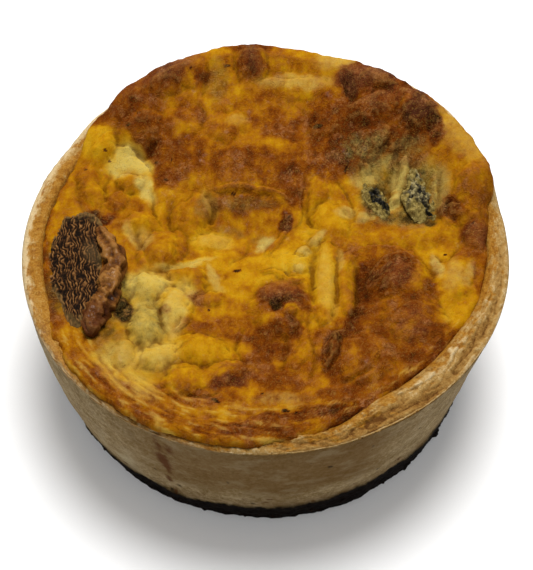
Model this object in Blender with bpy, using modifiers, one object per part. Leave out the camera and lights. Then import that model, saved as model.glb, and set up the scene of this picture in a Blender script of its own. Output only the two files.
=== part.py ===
"""Individual deep quiche: a tapered pastry case with a charred base, baked filling and mushroom pieces.

Metres, +Z up. The origin is on the table, under the middle of the base. +Y is the high back edge.
"""

import math

import bmesh
import bpy
import numpy as np
from mathutils import Vector, noise

MM = 0.001

# Driving dimensions of the pastry case, in millimetres
RIM_RADIUS = 52.5
BASE_RADIUS = 45.2
RIM_HEIGHT = 39.5
WALL_THICKNESS = 5.0
BASE_THICKNESS = 6.0
CHAR_HEIGHT = 4.0
CHAR_INSET = 0.8
CHAR_STEP = 0.5
CENTRE_HEIGHT = 37.0
LIP_THICKNESS = 1.7
PIECE_GAP = 0.35

# Unevenness left by hands and oven: how far each surface strays, and the size of its waves
WALL_STRAY, WALL_WAVE = 0.18, 7.0
CHAR_STRAY, CHAR_WAVE = 0.5, 4.0
CHAR_LINE_STRAY, CHAR_LINE_WAVE = 0.5, 5.0
RIM_STRAY, RIM_WAVE = 0.3, 4.0
TOP_STRAY, TOP_WAVE = 0.25, 4.5

# Fineness of the meshes
TURNED_STEPS = 80
TOP_CELLS = 44
PAD_SEGMENTS = 24
PAD_RINGS = 12
SOFTENING = 0.9
SHARP_EDGE = math.radians(40)

# Section of the case: heights of its inner and outer rings, and the rim's top as share of the wall and drop
INNER_RINGS = (7.0, 16.0, 25.0, 32.0, 36.5)
OUTER_RINGS = (38.6, 36.0, 24.0, 12.0)
INNER_RIM = 38.6
FLOOR_RINGS = (0.0, 15.0, 30.0)
FLOOR_CORNER = 1.0
RIM_PROFILE = ((0.82, 0.1), (0.62, 0.0), (0.44, 0.35), (0.26, 0.0), (0.1, 0.15))
FOOT_PROFILE = ((0.4, 2.2), (0.4, 1.0), (1.2, 0.0))
FOOT_RING = 22.0

# Pastry layers that part along the rim at the front right
LAYERS_AT = 306
LAYERS_SPREAD = 26
LAYER_SHARE = 0.44
LAYER_HALF_WIDTH = 0.3
LAYER_DEPTH = 0.9

# How the edge's uneven height spreads down the wall, how soon the wall reaches its own thickness, and how
# deep the rim's unevenness goes
LIFT_CURVE = 1.5
THICKENING = 1.4
RIM_DEPTH = 1.2

# The case and the filling round the edge: degrees from +X towards +Y, and millimetres. The lip's height is
# reached at EDGE_SHARE of the way out, along a curve of the power EDGE_CURVE
RIM_HEIGHT_AT = (
    (0, 39.8), (10, 40.6), (24, 46.4), (42, 48.3), (62, 48.0), (80, 46.0), (105, 46.2), (124, 45.6),
    (138, 42.8), (152, 40.2), (185, 39.4), (212, 38.4), (262, 38.2), (284, 38.9), (300, 39.6), (330, 39.8),
)
WALL_AT = (
    (0, 4.6), (40, 4.4), (100, 4.6), (150, 4.4), (200, 4.6),
    (250, 4.2), (288, 4.8), (300, 6.9), (325, 6.8), (345, 5.4),
)
BULGE_AT = ((150, 0.0), (205, 1.4), (226, 1.4), (250, 0.4), (275, 0.0))
LIP_RADIUS_AT = (
    (0, 48.0), (10, 49.3), (16, 52.0), (26, 51.6), (52, 51.6), (68, 52.2), (100, 52.3),
    (122, 51.9), (140, 50.8), (158, 48.2), (196, 48.2), (210, 50.2), (224, 51.5), (246, 52.2),
    (266, 51.5), (278, 50.0), (294, 47.2), (306, 45.8), (325, 45.9), (345, 47.3),
)
LIP_HEIGHT_AT = (
    (0, 39.4), (10, 42.2), (20, 47.8), (36, 49.4), (60, 49.4), (78, 48.8), (98, 50.3), (112, 49.4),
    (128, 47.6), (142, 43.8), (156, 40.2), (196, 39.2), (212, 39.6), (230, 40.2), (262, 40.2),
    (284, 40.2), (300, 39.6), (340, 39.0),
)
EDGE_SHARE = 0.93
EDGE_CURVE = 2.2

# Relief eases off to this share at the lip, over this share of the way out
LIP_RELIEF = 0.25
LIP_FADE = 0.05

# The filling's side below the lip: how far inside the case's outer surface, and how far below the lip
FILLING_SIDE = ((2.2, 4.5), (2.4, 22.0), (3.0, 36.5))
FILLING_BOTTOM = BASE_THICKNESS - 2.0

# Crumbs stuck to the charred base: degrees round the edge and how far each stands out
CRUMBS = ((270, 1.2), (345, 1.5), (235, 0.8), (300, 0.9), (60, 1.1), (150, 0.9), (195, 1.0))
CRUMB_SPREAD = 5.0

# Lumps of cheese and custard: x, y, half length, half width, turn in degrees, height
LUMPS = (
    (-22.5, -1.5, 6.6, 4.8, 60, 2.4),
    (-16.0, 8.5, 6.4, 4.8, 70, 2.2),
    (-27.5, 6.0, 5.0, 3.6, 10, 1.6),
    (-16.5, -8.5, 4.8, 3.4, 150, 2.0),
    (-24.5, -11.5, 4.0, 3.6, 0, 1.8),
    (-18.5, -16.5, 4.2, 5.6, 10, 1.7),
    (-24.5, -22.5, 3.6, 6.2, 5, 2.2),
    (-21.5, -30.5, 4.4, 3.4, 20, 1.5),
    (-28.5, -29.5, 3.6, 3.0, 70, 1.3),
    (-12.5, -28.0, 6.2, 4.6, 165, 1.8),
    (-16.0, -36.0, 5.0, 3.8, 30, 1.8),
    (-8.0, -33.5, 6.5, 3.2, 25, 1.4),
    (-39.0, 15.0, 6.4, 3.0, 110, 1.4),
    (-30.5, 16.5, 3.8, 2.6, 95, 2.0),
    (-37.5, 24.5, 4.4, 2.8, 60, 1.2),
    (-29.0, 29.5, 5.6, 4.4, 30, 1.8),
    (-20.0, 31.5, 4.6, 3.8, 0, 1.2),
    (-9.0, 31.0, 5.2, 4.2, 20, 1.6),
    (-22.0, 42.0, 6.4, 3.8, 45, 1.6),
    (-4.0, 46.5, 3.6, 4.6, 0, 1.8),
    (6.0, 42.0, 8.4, 2.6, 176, 1.6),
    (13.5, 7.0, 4.6, 6.0, 15, 1.4),
    (23.0, 35.0, 7.0, 3.6, 10, 1.8),
    (33.5, 33.0, 6.8, 5.0, 120, 2.0),
    (25.0, 42.5, 5.4, 3.4, 150, 1.8),
    (3.5, -16.5, 7.4, 8.2, 0, 2.6),
    (45.0, 11.0, 5.2, 7.0, 160, 2.2),
    (41.5, 7.8, 2.9, 2.2, 165, 2.0),
    (39.5, -9.0, 4.4, 8.0, 165, 1.5),
    (30.5, 4.0, 7.2, 3.0, 172, 1.4),
    (31.0, -18.5, 6.6, 8.4, 20, 2.2),
    (28.5, -9.0, 7.0, 7.4, 0, 3.2),
    (20.5, -30.0, 6.6, 7.2, 130, 1.9),
    (14.3, -27.5, 1.9, 5.8, 165, 2.4),
)

# Melted shreds of cheese: the points that each runs through, its half width and its height
SHREDS = (
    (((13.5, 2.0), (13.0, -6.0), (12.4, -13.0), (12.0, -20.0)), 2.1, 1.2),
    (((18.5, -1.0), (16.8, -6.0), (17.4, -13.0), (17.0, -18.0)), 1.7, 1.0),
    (((30.3, 21.5), (29.6, 16.0), (28.6, 12.0)), 1.6, 1.4),
    (((23.5, 27.0), (27.5, 29.5)), 1.3, 1.1),
    (((27.5, 25.5), (31.5, 29.0)), 1.5, 1.2),
    (((-12.0, 15.8), (-6.0, 15.9), (1.5, 15.2), (5.0, 13.0)), 0.8, 1.0),
    (((-23.0, -8.6), (-16.4, -12.2), (-15.4, -17.5), (-18.0, -22.5)), 1.0, 0.9),
)

# Broad rises and hollows: x, y, radius along x, radius along y, height
SWELLS = (
    (-5.0, 24.0, 17.0, 9.0, 2.4),
    (29.0, 15.5, 9.5, 9.0, -3.4),
    (21.0, -9.5, 2.8, 7.5, -1.8),
    (-4.0, 5.5, 13.0, 6.0, -1.8),
    (-31.0, 21.5, 5.5, 5.5, -1.6),
    (24.0, -19.0, 12.0, 15.0, 1.2),
    (18.5, 41.0, 3.0, 4.0, -1.6),
    (2.6, -16.0, 1.4, 2.2, -1.8),
    (-41.0, -8.0, 5.5, 13.0, -1.0),
    (0.0, -41.0, 17.0, 5.0, 0.8),
)

# Mushroom pieces: x, y, half length, half width, thickness, turn in degrees, how far the top stands proud
GILLED_CAP = (-40.2, -6.8, 14.6, 5.9, 4.2, 96, 1.3)
DARK_SLICE = (24.4, 13.4, 4.9, 2.3, 2.6, 118, 0.9)
SHADED_SLICE = (33.6, 13.0, 6.4, 3.3, 3.0, 100, 1.1)
GILL_PITCH = 1.9
GILL_DEPTH = 0.45
GILL_SWAY, GILL_SWAY_LENGTH = 0.12, 2.2
WORN_THREES, WORN_FIVES = 0.09, 0.06
FLATTENING = 0.8
CURLED_EDGE = (
    (-35.6, 3.6), (-33.0, -1.5), (-31.6, -6.5), (-32.2, -12.0), (-33.6, -17.0), (-35.0, -21.5),
    (-35.2, -26.5),
)
CURLED_RADII = (1.4, 2.3, 2.6, 2.6, 2.8, 3.0, 1.8)
CURLED_LIFT = 0.7


def by_angle(degrees, stations):
    """A value round the edge, eased from one station to the next."""
    turns = np.mod(np.asarray(degrees, float), 360)
    angles = np.array([angle for angle, _ in stations] + [stations[0][0] + 360.0])
    values = np.array([value for _, value in stations] + [stations[0][1]])
    turns = np.where(turns < angles[0], turns + 360, turns)
    place = np.clip(np.searchsorted(angles, turns, side="right") - 1, 0, len(stations) - 1)
    share = (turns - angles[place]) / (angles[place + 1] - angles[place])
    share = share * share * (3 - 2 * share)
    return values[place] * (1 - share) + values[place + 1] * share


def angle_of(x, y):
    return np.degrees(np.arctan2(y, x))


def roughness(x, y, z, scale, seed):
    """Smooth noise from -1 to 1 at each point; scale is the size of its waves in millimetres."""
    points = np.stack(np.broadcast_arrays(x, y, z), -1).reshape(-1, 3)
    values = [noise.noise(Vector(p) / scale + Vector((seed, -seed, 2.0 * seed))) for p in points]
    return np.array(values).reshape(np.broadcast(x, y, z).shape)


def dome(x, y, lump):
    """Height of a rounded lump with a steep edge."""
    cx, cy, length, width, turn, height = lump
    c, s = math.cos(math.radians(turn)), math.sin(math.radians(turn))
    along = ((x - cx) * c + (y - cy) * s) / length
    across = ((y - cy) * c - (x - cx) * s) / width
    inside = np.clip(1 - (along**2 + across**2) ** 1.5, 0, 1)
    return height * inside**0.8


def distance_to(x, y, points):
    """Distance to a line through the points."""
    nearest = np.full(np.shape(x), np.inf)
    for (ax, ay), (bx, by) in zip(points, points[1:]):
        dx, dy = bx - ax, by - ay
        share = np.clip(((x - ax) * dx + (y - ay) * dy) / (dx * dx + dy * dy), 0, 1)
        nearest = np.minimum(nearest, np.hypot(x - ax - share * dx, y - ay - share * dy))
    return nearest


def filling_height(x, y):
    """Height of the filling's top over the table."""
    degrees = angle_of(x, y)
    share = np.hypot(x, y) / by_angle(degrees, LIP_RADIUS_AT)
    edge = by_angle(degrees, LIP_HEIGHT_AT)
    base = CENTRE_HEIGHT + (edge - CENTRE_HEIGHT) * np.clip(share / EDGE_SHARE, 0, 1) ** EDGE_CURVE
    for cx, cy, rx, ry, height in SWELLS:
        base = base + height * np.exp(-(((x - cx) / rx) ** 2) - ((y - cy) / ry) ** 2)
    relief = np.zeros_like(base)
    for lump in LUMPS:
        relief = np.maximum(relief, dome(x, y, lump))
    for points, half_width, height in SHREDS:
        across = np.clip(1 - (distance_to(x, y, points) / half_width) ** 2, 0, 1)
        relief = np.maximum(relief, height * np.sqrt(across))
    fade = np.clip((1 - share) / LIP_FADE, 0, 1)
    relief = relief * (LIP_RELIEF + (1 - LIP_RELIEF) * fade)
    return base + relief + TOP_STRAY * roughness(x, y, 0, TOP_WAVE, 3)


def softened_height(x, y):
    """The filling's height averaged over a small cross, for a grid too coarse for its sharpest creases."""
    total = 0.0
    for dx, dy in ((0, 0), (1, 0), (-1, 0), (0, 1), (0, -1)):
        total = total + filling_height(x + dx * SOFTENING, y + dy * SOFTENING)
    return total / 5


def material(name, colour, rough):
    made = bpy.data.materials.new(name)
    made.use_nodes = True
    shader = made.node_tree.nodes["Principled BSDF"]
    shader.inputs["Base Color"].default_value = (*colour, 1)
    shader.inputs["Roughness"].default_value = rough
    shader.inputs["Metallic"].default_value = 0.0
    made.diffuse_color = (*colour, 1)
    return made


def collection(name):
    made = bpy.data.collections.new(name)
    bpy.context.scene.collection.children.link(made)
    return made


def place(name, mesh, group, finish):
    made = bpy.data.objects.new(name, mesh)
    group.objects.link(made)
    if finish:
        mesh.materials.clear()
        mesh.materials.append(finish)
    if isinstance(mesh, bpy.types.Mesh):
        mesh.shade_smooth()
        mesh.set_sharp_from_angle(angle=SHARP_EDGE)
    return made


def solid_mesh(source):
    """The evaluated mesh of an object, welded, with the object removed."""
    bpy.context.view_layer.update()
    graph = bpy.context.evaluated_depsgraph_get()
    mesh = bpy.data.meshes.new_from_object(source.evaluated_get(graph))
    mesh.transform(source.matrix_world)
    bpy.data.objects.remove(source)
    shape = bmesh.new()
    shape.from_mesh(mesh)
    bmesh.ops.remove_doubles(shape, verts=shape.verts, dist=0.00001)
    shape.to_mesh(mesh)
    shape.free()
    return mesh


def coordinates(mesh):
    """The mesh's points in millimetres, one row each."""
    flat = np.empty(len(mesh.vertices) * 3)
    mesh.vertices.foreach_get("co", flat)
    return flat.reshape(-1, 3) / MM


def set_coordinates(mesh, points):
    mesh.vertices.foreach_set("co", (np.asarray(points) * MM).ravel())
    mesh.update()


def outer_radius(z):
    return BASE_RADIUS + (RIM_RADIUS - BASE_RADIUS) * z / RIM_HEIGHT


def case_profile(grow):
    """The turned section of the case: the floor, the inside wall, the rim, the outside and the underside."""
    wall = WALL_THICKNESS + grow
    floor = BASE_THICKNESS + grow
    inner = [(radius, floor) for radius in (*FLOOR_RINGS, outer_radius(floor) - wall - FLOOR_CORNER)]
    inner += [(outer_radius(z) - wall, z) for z in INNER_RINGS]
    inner += [(outer_radius(INNER_RIM) - wall, INNER_RIM + grow)]
    rim = [(RIM_RADIUS - share * WALL_THICKNESS, RIM_HEIGHT + grow - drop) for share, drop in RIM_PROFILE]
    outer = [(outer_radius(z) + grow, z) for z in OUTER_RINGS]
    outer += [(outer_radius(CHAR_HEIGHT) + grow, CHAR_HEIGHT + CHAR_STEP)]
    outer += [(outer_radius(CHAR_HEIGHT) - CHAR_INSET + grow, CHAR_HEIGHT - CHAR_STEP)]
    outer += [(BASE_RADIUS - inset + grow, z) for inset, z in FOOT_PROFILE]
    return inner + rim + outer + [(FOOT_RING, 0.0), (0.0, 0.0)]


def wall_share(z):
    """How far up the wall a height is: 0 at the floor and 1 at the rim."""
    return np.clip((z - BASE_THICKNESS) / (RIM_HEIGHT - BASE_THICKNESS), 0, None)


def widened(radius, z, degrees):
    """The wall's radii, with its thickness varied round the edge and its front left side bulged."""
    outside = outer_radius(np.minimum(z, RIM_HEIGHT))
    depth = outside - radius
    in_wall = (depth > 0) & (z > BASE_THICKNESS + PIECE_GAP) & (depth < WALL_THICKNESS + 2.0)
    scale = 1 + (by_angle(degrees, WALL_AT) / WALL_THICKNESS - 1) * np.clip(wall_share(z) * THICKENING, 0, 1)
    bulge = by_angle(degrees, BULGE_AT) * np.clip(4 * (z / RIM_HEIGHT) * (1 - z / RIM_HEIGHT), 0, 1)
    return np.where(in_wall, outside - depth * scale, radius) + bulge * (depth < 1.0)


def charred_foot(x, y, z, degrees):
    """How far the burnt foot of the case stands out: rough all round, with crumbs stuck to it."""
    crumbs = np.zeros_like(x)
    for angle, size in CRUMBS:
        away = np.mod(degrees - angle + 180, 360) - 180
        crumbs = crumbs + size * np.exp(-((away / CRUMB_SPREAD) ** 2)) * (z > 0.5)
    return CHAR_STRAY * roughness(x, y, z * 2, CHAR_WAVE, 5) + crumbs


def shape_case(points):
    """Bends the turned case to the uneven wall: its height and thickness vary round the edge."""
    x, y, z = points.T
    radius = np.hypot(x, y)
    degrees = angle_of(x, y)
    depth = outer_radius(np.minimum(z, RIM_HEIGHT)) - radius
    at_foot = (z < CHAR_HEIGHT + 0.1) & (radius > BASE_RADIUS - 2.0)
    stray = WALL_STRAY * roughness(x, y, z, WALL_WAVE, 11) * (depth < 1.0)
    new_radius = widened(radius, z, degrees) + stray + charred_foot(x, y, z, degrees) * at_foot

    new_z = z + (by_angle(degrees, RIM_HEIGHT_AT) - RIM_HEIGHT) * wall_share(z) ** LIFT_CURVE
    char_line = (np.abs(z - CHAR_HEIGHT) < 0.6) & (depth < 2.0)
    new_z = new_z + CHAR_LINE_STRAY * roughness(x, y, 0, CHAR_LINE_WAVE, 41) * char_line
    on_rim = (z > RIM_HEIGHT - RIM_DEPTH) & (depth < WALL_THICKNESS)
    new_z = new_z + RIM_STRAY * roughness(x, y, z, RIM_WAVE, 23) * on_rim
    layered = np.clip(1 - np.abs((np.mod(degrees, 360) - LAYERS_AT) / LAYERS_SPREAD), 0, 1)
    groove = (np.abs(depth - LAYER_SHARE * WALL_THICKNESS) < LAYER_HALF_WIDTH) & on_rim
    new_z = new_z - LAYER_DEPTH * layered * groove
    factor = new_radius / np.maximum(radius, 1e-6)
    return np.stack([x * factor, y * factor, new_z], -1)


def turned_case(name, group, finish, grow=0.0):
    """The pastry case: a profile turned round Z, then shaped by hand as the real one was."""
    profile = case_profile(grow)
    mesh = bpy.data.meshes.new(name)
    line = [(i, i + 1) for i in range(len(profile) - 1)]
    mesh.from_pydata([(r * MM, 0, z * MM) for r, z in profile], line, [])
    blank = place(name + "_profile", mesh, group, None)
    screw = blank.modifiers.new("turn", "SCREW")
    screw.axis = "Z"
    screw.steps = screw.render_steps = TURNED_STEPS
    screw.use_merge_vertices = True
    screw.merge_threshold = 0.00001
    case = solid_mesh(blank)
    set_coordinates(case, shape_case(coordinates(case)))
    shape = bmesh.new()
    shape.from_mesh(case)
    bmesh.ops.recalc_face_normals(shape, faces=shape.faces)
    shape.to_mesh(case)
    shape.free()
    return place(name, case, group, finish)


def disc_point(u, v):
    """Takes a square from -1 to 1 to a disc of radius 1, with cells of nearly even size."""
    u_leads = np.abs(u) > np.abs(v)
    lead = np.where(u_leads, u, v)
    other = np.where(u_leads, v, u)
    safe = np.where(np.abs(lead) < 1e-9, 1.0, lead)
    swing = math.pi / 4 * other / safe
    near, far = lead * np.cos(swing), lead * np.sin(swing)
    return np.where(u_leads, near, far), np.where(u_leads, far, near)


def baked_filling(group, finish):
    """The filling: a gridded top with its relief, a lip that runs on to the rim, and sides down inside."""
    shape = bmesh.new()
    bmesh.ops.create_grid(shape, x_segments=TOP_CELLS, y_segments=TOP_CELLS, size=1.0)
    verts = list(shape.verts)
    flat = np.array([v.co for v in verts])
    x, y = disc_point(flat[:, 0], flat[:, 1])
    reach = by_angle(angle_of(x, y), LIP_RADIUS_AT)
    x, y = x * reach, y * reach
    top = softened_height(x, y)
    for vert, px, py, pz in zip(verts, x, y, top):
        vert.co = Vector((px, py, pz)) * MM
    edges = [edge for edge in shape.edges if edge.is_boundary]
    for inset, below_lip in ((None, LIP_THICKNESS), *FILLING_SIDE):
        grown = bmesh.ops.extrude_edge_only(shape, edges=edges)["geom"]
        edges = [item for item in grown if isinstance(item, bmesh.types.BMEdge)]
        for vert in (item for item in grown if isinstance(item, bmesh.types.BMVert)):
            lower_side(vert, inset, below_lip)
    bmesh.ops.contextual_create(shape, geom=edges)
    bmesh.ops.triangulate(shape, faces=shape.faces)
    bmesh.ops.recalc_face_normals(shape, faces=shape.faces)
    mesh = bpy.data.meshes.new("filling")
    shape.to_mesh(mesh)
    shape.free()
    return place("filling", mesh, group, finish)


def lower_side(vert, inset, below_lip):
    """Sets one point of the filling's side: under the lip first, then inside the thickness of the wall."""
    x, y = vert.co.x / MM, vert.co.y / MM
    degrees = float(angle_of(x, y))
    lip = float(by_angle(degrees, LIP_HEIGHT_AT))
    if inset is None:
        vert.co.z = (lip - below_lip) * MM
        return
    z = max(lip - below_lip, FILLING_BOTTOM)
    scale = (outer_radius(min(z, RIM_HEIGHT)) - inset) / math.hypot(x, y)
    vert.co = Vector((x * scale, y * scale, z)) * MM


def pad(name, spec, group, finish, grow=0.0, gilled=False):
    """A piece of mushroom in the filling: a flattened ball with a worn outline and, on the cap, gills."""
    cx, cy, length, width, thickness, turn, stands = spec
    shape = bmesh.new()
    bmesh.ops.create_uvsphere(shape, u_segments=PAD_SEGMENTS, v_segments=PAD_RINGS, radius=1.0)
    bmesh.ops.triangulate(shape, faces=shape.faces)
    mesh = bpy.data.meshes.new(name)
    shape.to_mesh(mesh)
    shape.free()
    ball = coordinates(mesh) * MM
    c, s = math.cos(math.radians(turn)), math.sin(math.radians(turn))
    spread = np.hypot(ball[:, 0], ball[:, 1]) ** FLATTENING
    heading = np.arctan2(ball[:, 1], ball[:, 0])
    worn = 1 + WORN_THREES * np.sin(3 * heading + cx) + WORN_FIVES * np.sin(5 * heading + cy)
    along = spread * np.cos(heading) * length * worn
    across = spread * np.sin(heading) * width * worn
    level = filling_height(cx + along * c, cy + along * s)
    along, across = along * (1 + grow / length), across * (1 + grow / width)
    x, y = cx + along * c - across * s, cy + along * s + across * c
    middle = level + stands - thickness / 2
    z = middle + np.sign(ball[:, 2]) * np.abs(ball[:, 2]) ** FLATTENING * (thickness / 2 + grow)
    if gilled:
        lane = across / GILL_PITCH + GILL_SWAY * np.sin(along / GILL_SWAY_LENGTH)
        wave = np.abs(np.mod(lane, 1.0) - 0.5) * 2
        z = z - GILL_DEPTH * wave * (ball[:, 2] > 0.25)
    set_coordinates(mesh, np.stack([x, y, z], -1))
    return place(name, mesh, group, finish)


def curled_strip(name, group, finish, grow=0.0):
    """The curled, browned edge of the cap: a thick tapered strip that follows the cap's right side."""
    curve = bpy.data.curves.new(name, "CURVE")
    curve.dimensions = "3D"
    curve.bevel_depth = MM
    curve.bevel_resolution = 2
    curve.use_fill_caps = True
    curve.resolution_u = 4
    spline = curve.splines.new("NURBS")
    spline.points.add(len(CURLED_EDGE) - 1)
    spline.order_u = 4
    spline.use_endpoint_u = True
    for point, (x, y), radius in zip(spline.points, CURLED_EDGE, CURLED_RADII):
        level = float(filling_height(np.array([x]), np.array([y]))[0])
        point.co = (x * MM, y * MM, (level + CURLED_LIFT) * MM, 1)
        point.radius = radius + grow
    mesh = solid_mesh(place(name + "_path", curve, group, None))
    shape = bmesh.new()
    shape.from_mesh(mesh)
    bmesh.ops.triangulate(shape, faces=shape.faces)
    bmesh.ops.recalc_face_normals(shape, faces=shape.faces)
    shape.to_mesh(mesh)
    shape.free()
    return place(name, mesh, group, finish)


def as_cutter(cutter):
    cutter.hide_render = True
    cutter.display_type = "WIRE"
    return cutter


def cut_away(body, cutter):
    cut = body.modifiers.new("clear_of_" + cutter.name, "BOOLEAN")
    cut.operation = "DIFFERENCE"
    cut.solver = "EXACT"
    cut.object = cutter


def main():
    for old in list(bpy.data.objects):
        bpy.data.objects.remove(old)
    quiche = collection("quiche")
    cutters = collection("cutters")
    pastry = material("pastry", (0.62, 0.47, 0.27), 0.75)
    custard = material("baked_cheese", (0.62, 0.30, 0.04), 0.45)
    gills = material("mushroom_gills", (0.07, 0.05, 0.03), 0.8)
    browned = material("browned_mushroom", (0.33, 0.14, 0.05), 0.55)
    stewed = material("stewed_mushroom", (0.13, 0.12, 0.07), 0.6)

    turned_case("pastry_case", quiche, pastry)
    filling = baked_filling(quiche, custard)
    cut_away(filling, as_cutter(turned_case("case_clearance", cutters, None, PIECE_GAP)))

    pieces = (
        ("gilled_mushroom", GILLED_CAP, gills, True),
        ("mushroom_slice_dark", DARK_SLICE, stewed, False),
        ("mushroom_slice_shaded", SHADED_SLICE, stewed, False),
    )
    for name, spec, finish, gilled in pieces:
        piece = pad(name, spec, quiche, finish, 0.0, gilled)
        cut_away(filling, as_cutter(pad(name + "_clearance", spec, cutters, None, PIECE_GAP)))
        if gilled:
            cut_away(piece, as_cutter(curled_strip("curl_over_cap", cutters, None, PIECE_GAP)))
    curled_strip("curled_mushroom_edge", quiche, browned)
    cut_away(filling, as_cutter(curled_strip("curl_clearance", cutters, None, PIECE_GAP)))


main()
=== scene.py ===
import itertools
import math

import bpy
import numpy as np
from mathutils import Matrix, Vector


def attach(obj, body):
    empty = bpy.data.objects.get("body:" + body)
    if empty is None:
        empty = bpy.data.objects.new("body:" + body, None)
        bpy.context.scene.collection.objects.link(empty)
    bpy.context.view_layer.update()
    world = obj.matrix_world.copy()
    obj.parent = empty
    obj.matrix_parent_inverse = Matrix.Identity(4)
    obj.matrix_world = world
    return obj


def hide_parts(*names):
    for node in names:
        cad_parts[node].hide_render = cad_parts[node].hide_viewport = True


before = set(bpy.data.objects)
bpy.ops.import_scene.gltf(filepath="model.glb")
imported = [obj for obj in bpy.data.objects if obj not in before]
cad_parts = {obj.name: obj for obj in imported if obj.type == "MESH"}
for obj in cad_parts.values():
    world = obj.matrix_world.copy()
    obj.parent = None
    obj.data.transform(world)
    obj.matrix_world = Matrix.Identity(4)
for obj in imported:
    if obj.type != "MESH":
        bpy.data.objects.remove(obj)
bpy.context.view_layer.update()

MM = 0.001

# The case, in millimetres: the same driving dimensions as the solids
RIM_RADIUS = 52.5
BASE_RADIUS = 45.2
RIM_HEIGHT = 39.5
CENTRE_HEIGHT = 37.0
FLOOR_HEIGHT = 6.0
CHAR_HEIGHT = 4.0
CHAR_PROUD = 0.5
PROUDEST_RADIUS = 52.35
LIP_ROUNDING = 1.0

# The case and the filling round the edge: degrees from +X towards +Y, and millimetres
RIM_HEIGHT_AT = (
    (0, 39.8), (10, 40.6), (24, 46.4), (42, 48.3), (62, 48.0), (80, 46.0), (105, 46.2), (124, 45.6),
    (138, 42.8), (152, 40.2), (185, 39.4), (212, 38.4), (262, 38.2), (284, 38.9), (300, 39.6), (330, 39.8),
)
WALL_AT = (
    (0, 4.6), (40, 4.4), (100, 4.6), (150, 4.4), (200, 4.6),
    (250, 4.2), (288, 4.8), (300, 6.9), (325, 6.8), (345, 5.4),
)
BULGE_AT = ((150, 0.0), (205, 1.4), (226, 1.4), (250, 0.4), (275, 0.0))
LIP_RADIUS_AT = (
    (0, 48.0), (10, 49.3), (16, 52.0), (26, 51.6), (52, 51.6), (68, 52.2), (100, 52.3),
    (122, 51.9), (143, 51.0), (150, 48.8), (158, 48.2), (196, 48.2), (210, 50.2), (224, 51.5), (246, 52.2),
    (266, 51.5), (278, 50.0), (294, 47.2), (306, 45.8), (325, 45.9), (345, 47.3),
)
LIP_HEIGHT_AT = (
    (0, 39.4), (10, 42.2), (20, 47.8), (36, 49.4), (60, 49.4), (78, 48.8), (98, 50.3), (112, 49.4),
    (128, 47.6), (142, 43.8), (156, 40.2), (196, 39.2), (212, 39.6), (230, 40.2), (262, 40.2),
    (284, 40.2), (300, 39.6), (340, 39.0),
)
CHAR_LINE_AT = (
    (0, 5.4), (60, 5.0), (150, 5.6), (200, 7.4), (225, 7.2),
    (250, 6.9), (275, 7.2), (300, 8.4), (325, 8.8), (345, 7.0),
)

# From 0 to about 1 round the case: grease, layers, pale edge and tone of the rim, browning of the wall with
# painted shade on its front
GREASE_AT = (
    (0, 0.35), (20, 0.60), (110, 0.60), (130, 0.40), (170, 0.50), (195, 0.62), (212, 1.05),
    (258, 1.05), (270, 0.60), (290, 0.40), (310, 0.22), (340, 0.25),
)
LAYERED_AT = (
    (0, 0.4), (30, 0.1), (180, 0.15), (262, 0.3), (284, 0.8), (300, 1.0), (328, 1.0), (352, 0.5),
)
PALE_EDGE_AT = (
    (0, 0.20), (150, 0.48), (212, 0.66), (240, 0.52), (290, 0.10), (305, 0.0), (322, 0.20), (345, 0.30),
)
RIM_TONE_AT = (
    (0, 0.46), (60, 0.50), (150, 0.52), (212, 0.55), (262, 0.36),
    (290, 0.36), (310, 0.52), (325, 0.55), (345, 0.42),
)
# Browner towards the front: baked browning, and painted shade on the side away from the light
BROWNED_AND_SHADED_WALL_AT = (
    (0, 0.3), (60, 0.2), (160, 0.2), (205, 0.0), (228, 0.25),
    (252, 0.9), (292, 1.0), (306, 0.35), (325, 0.1), (345, 0.2),
)

# Dark specks on the wall: degrees, height and radius
WALL_SPECKS = (
    (286, 27.0, 0.55), (262, 21.0, 0.35), (243, 17.0, 0.40), (268, 9.0, 0.35), (301, 14.0, 0.45),
    (311, 25.0, 0.35), (225, 24.0, 0.35), (232, 9.0, 0.45), (277, 33.0, 0.30), (320, 18.0, 0.40),
    (20, 22.0, 0.45), (75, 15.0, 0.50), (110, 28.0, 0.40), (160, 19.0, 0.45), (345, 11.0, 0.40),
    (249, 12.0, 0.55), (246, 7.5, 0.60), (296, 31.0, 0.35),
)

# The brown run and the floury place on the wall, in degrees, and the flour's height
DRIP_AT = 247.0
FLOUR_AT = 232
FLOUR_MARK_HEIGHT = 14

# How the filling's relief and browning are built up, and the pitch of the rim's leaves
EDGE_SHARE = 0.93
EDGE_CURVE = 2.2
LUMP_HEIGHT_SHARE = 1.00
BACK_LUMP_HEIGHT_SHARE = 0.80
BACK_LUMPS_FROM = 30
LUMP_TONE_SPREAD = 0.09
SHRED_HEIGHT_SHARE = 0.62
SHRED_WIDENING = 1.15
CREASE_DEPTH_SHARE = 0.90
CREASE_WIDENING = 1.05
FOLD_HEIGHT_SHARE = 0.70
FOLD_TOP = 0.15
FOLD_FOOT = -0.35
START_BAKE = 0.47
UNION_POWER = 3.6
LEAF_PITCH = 2.3

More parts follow.
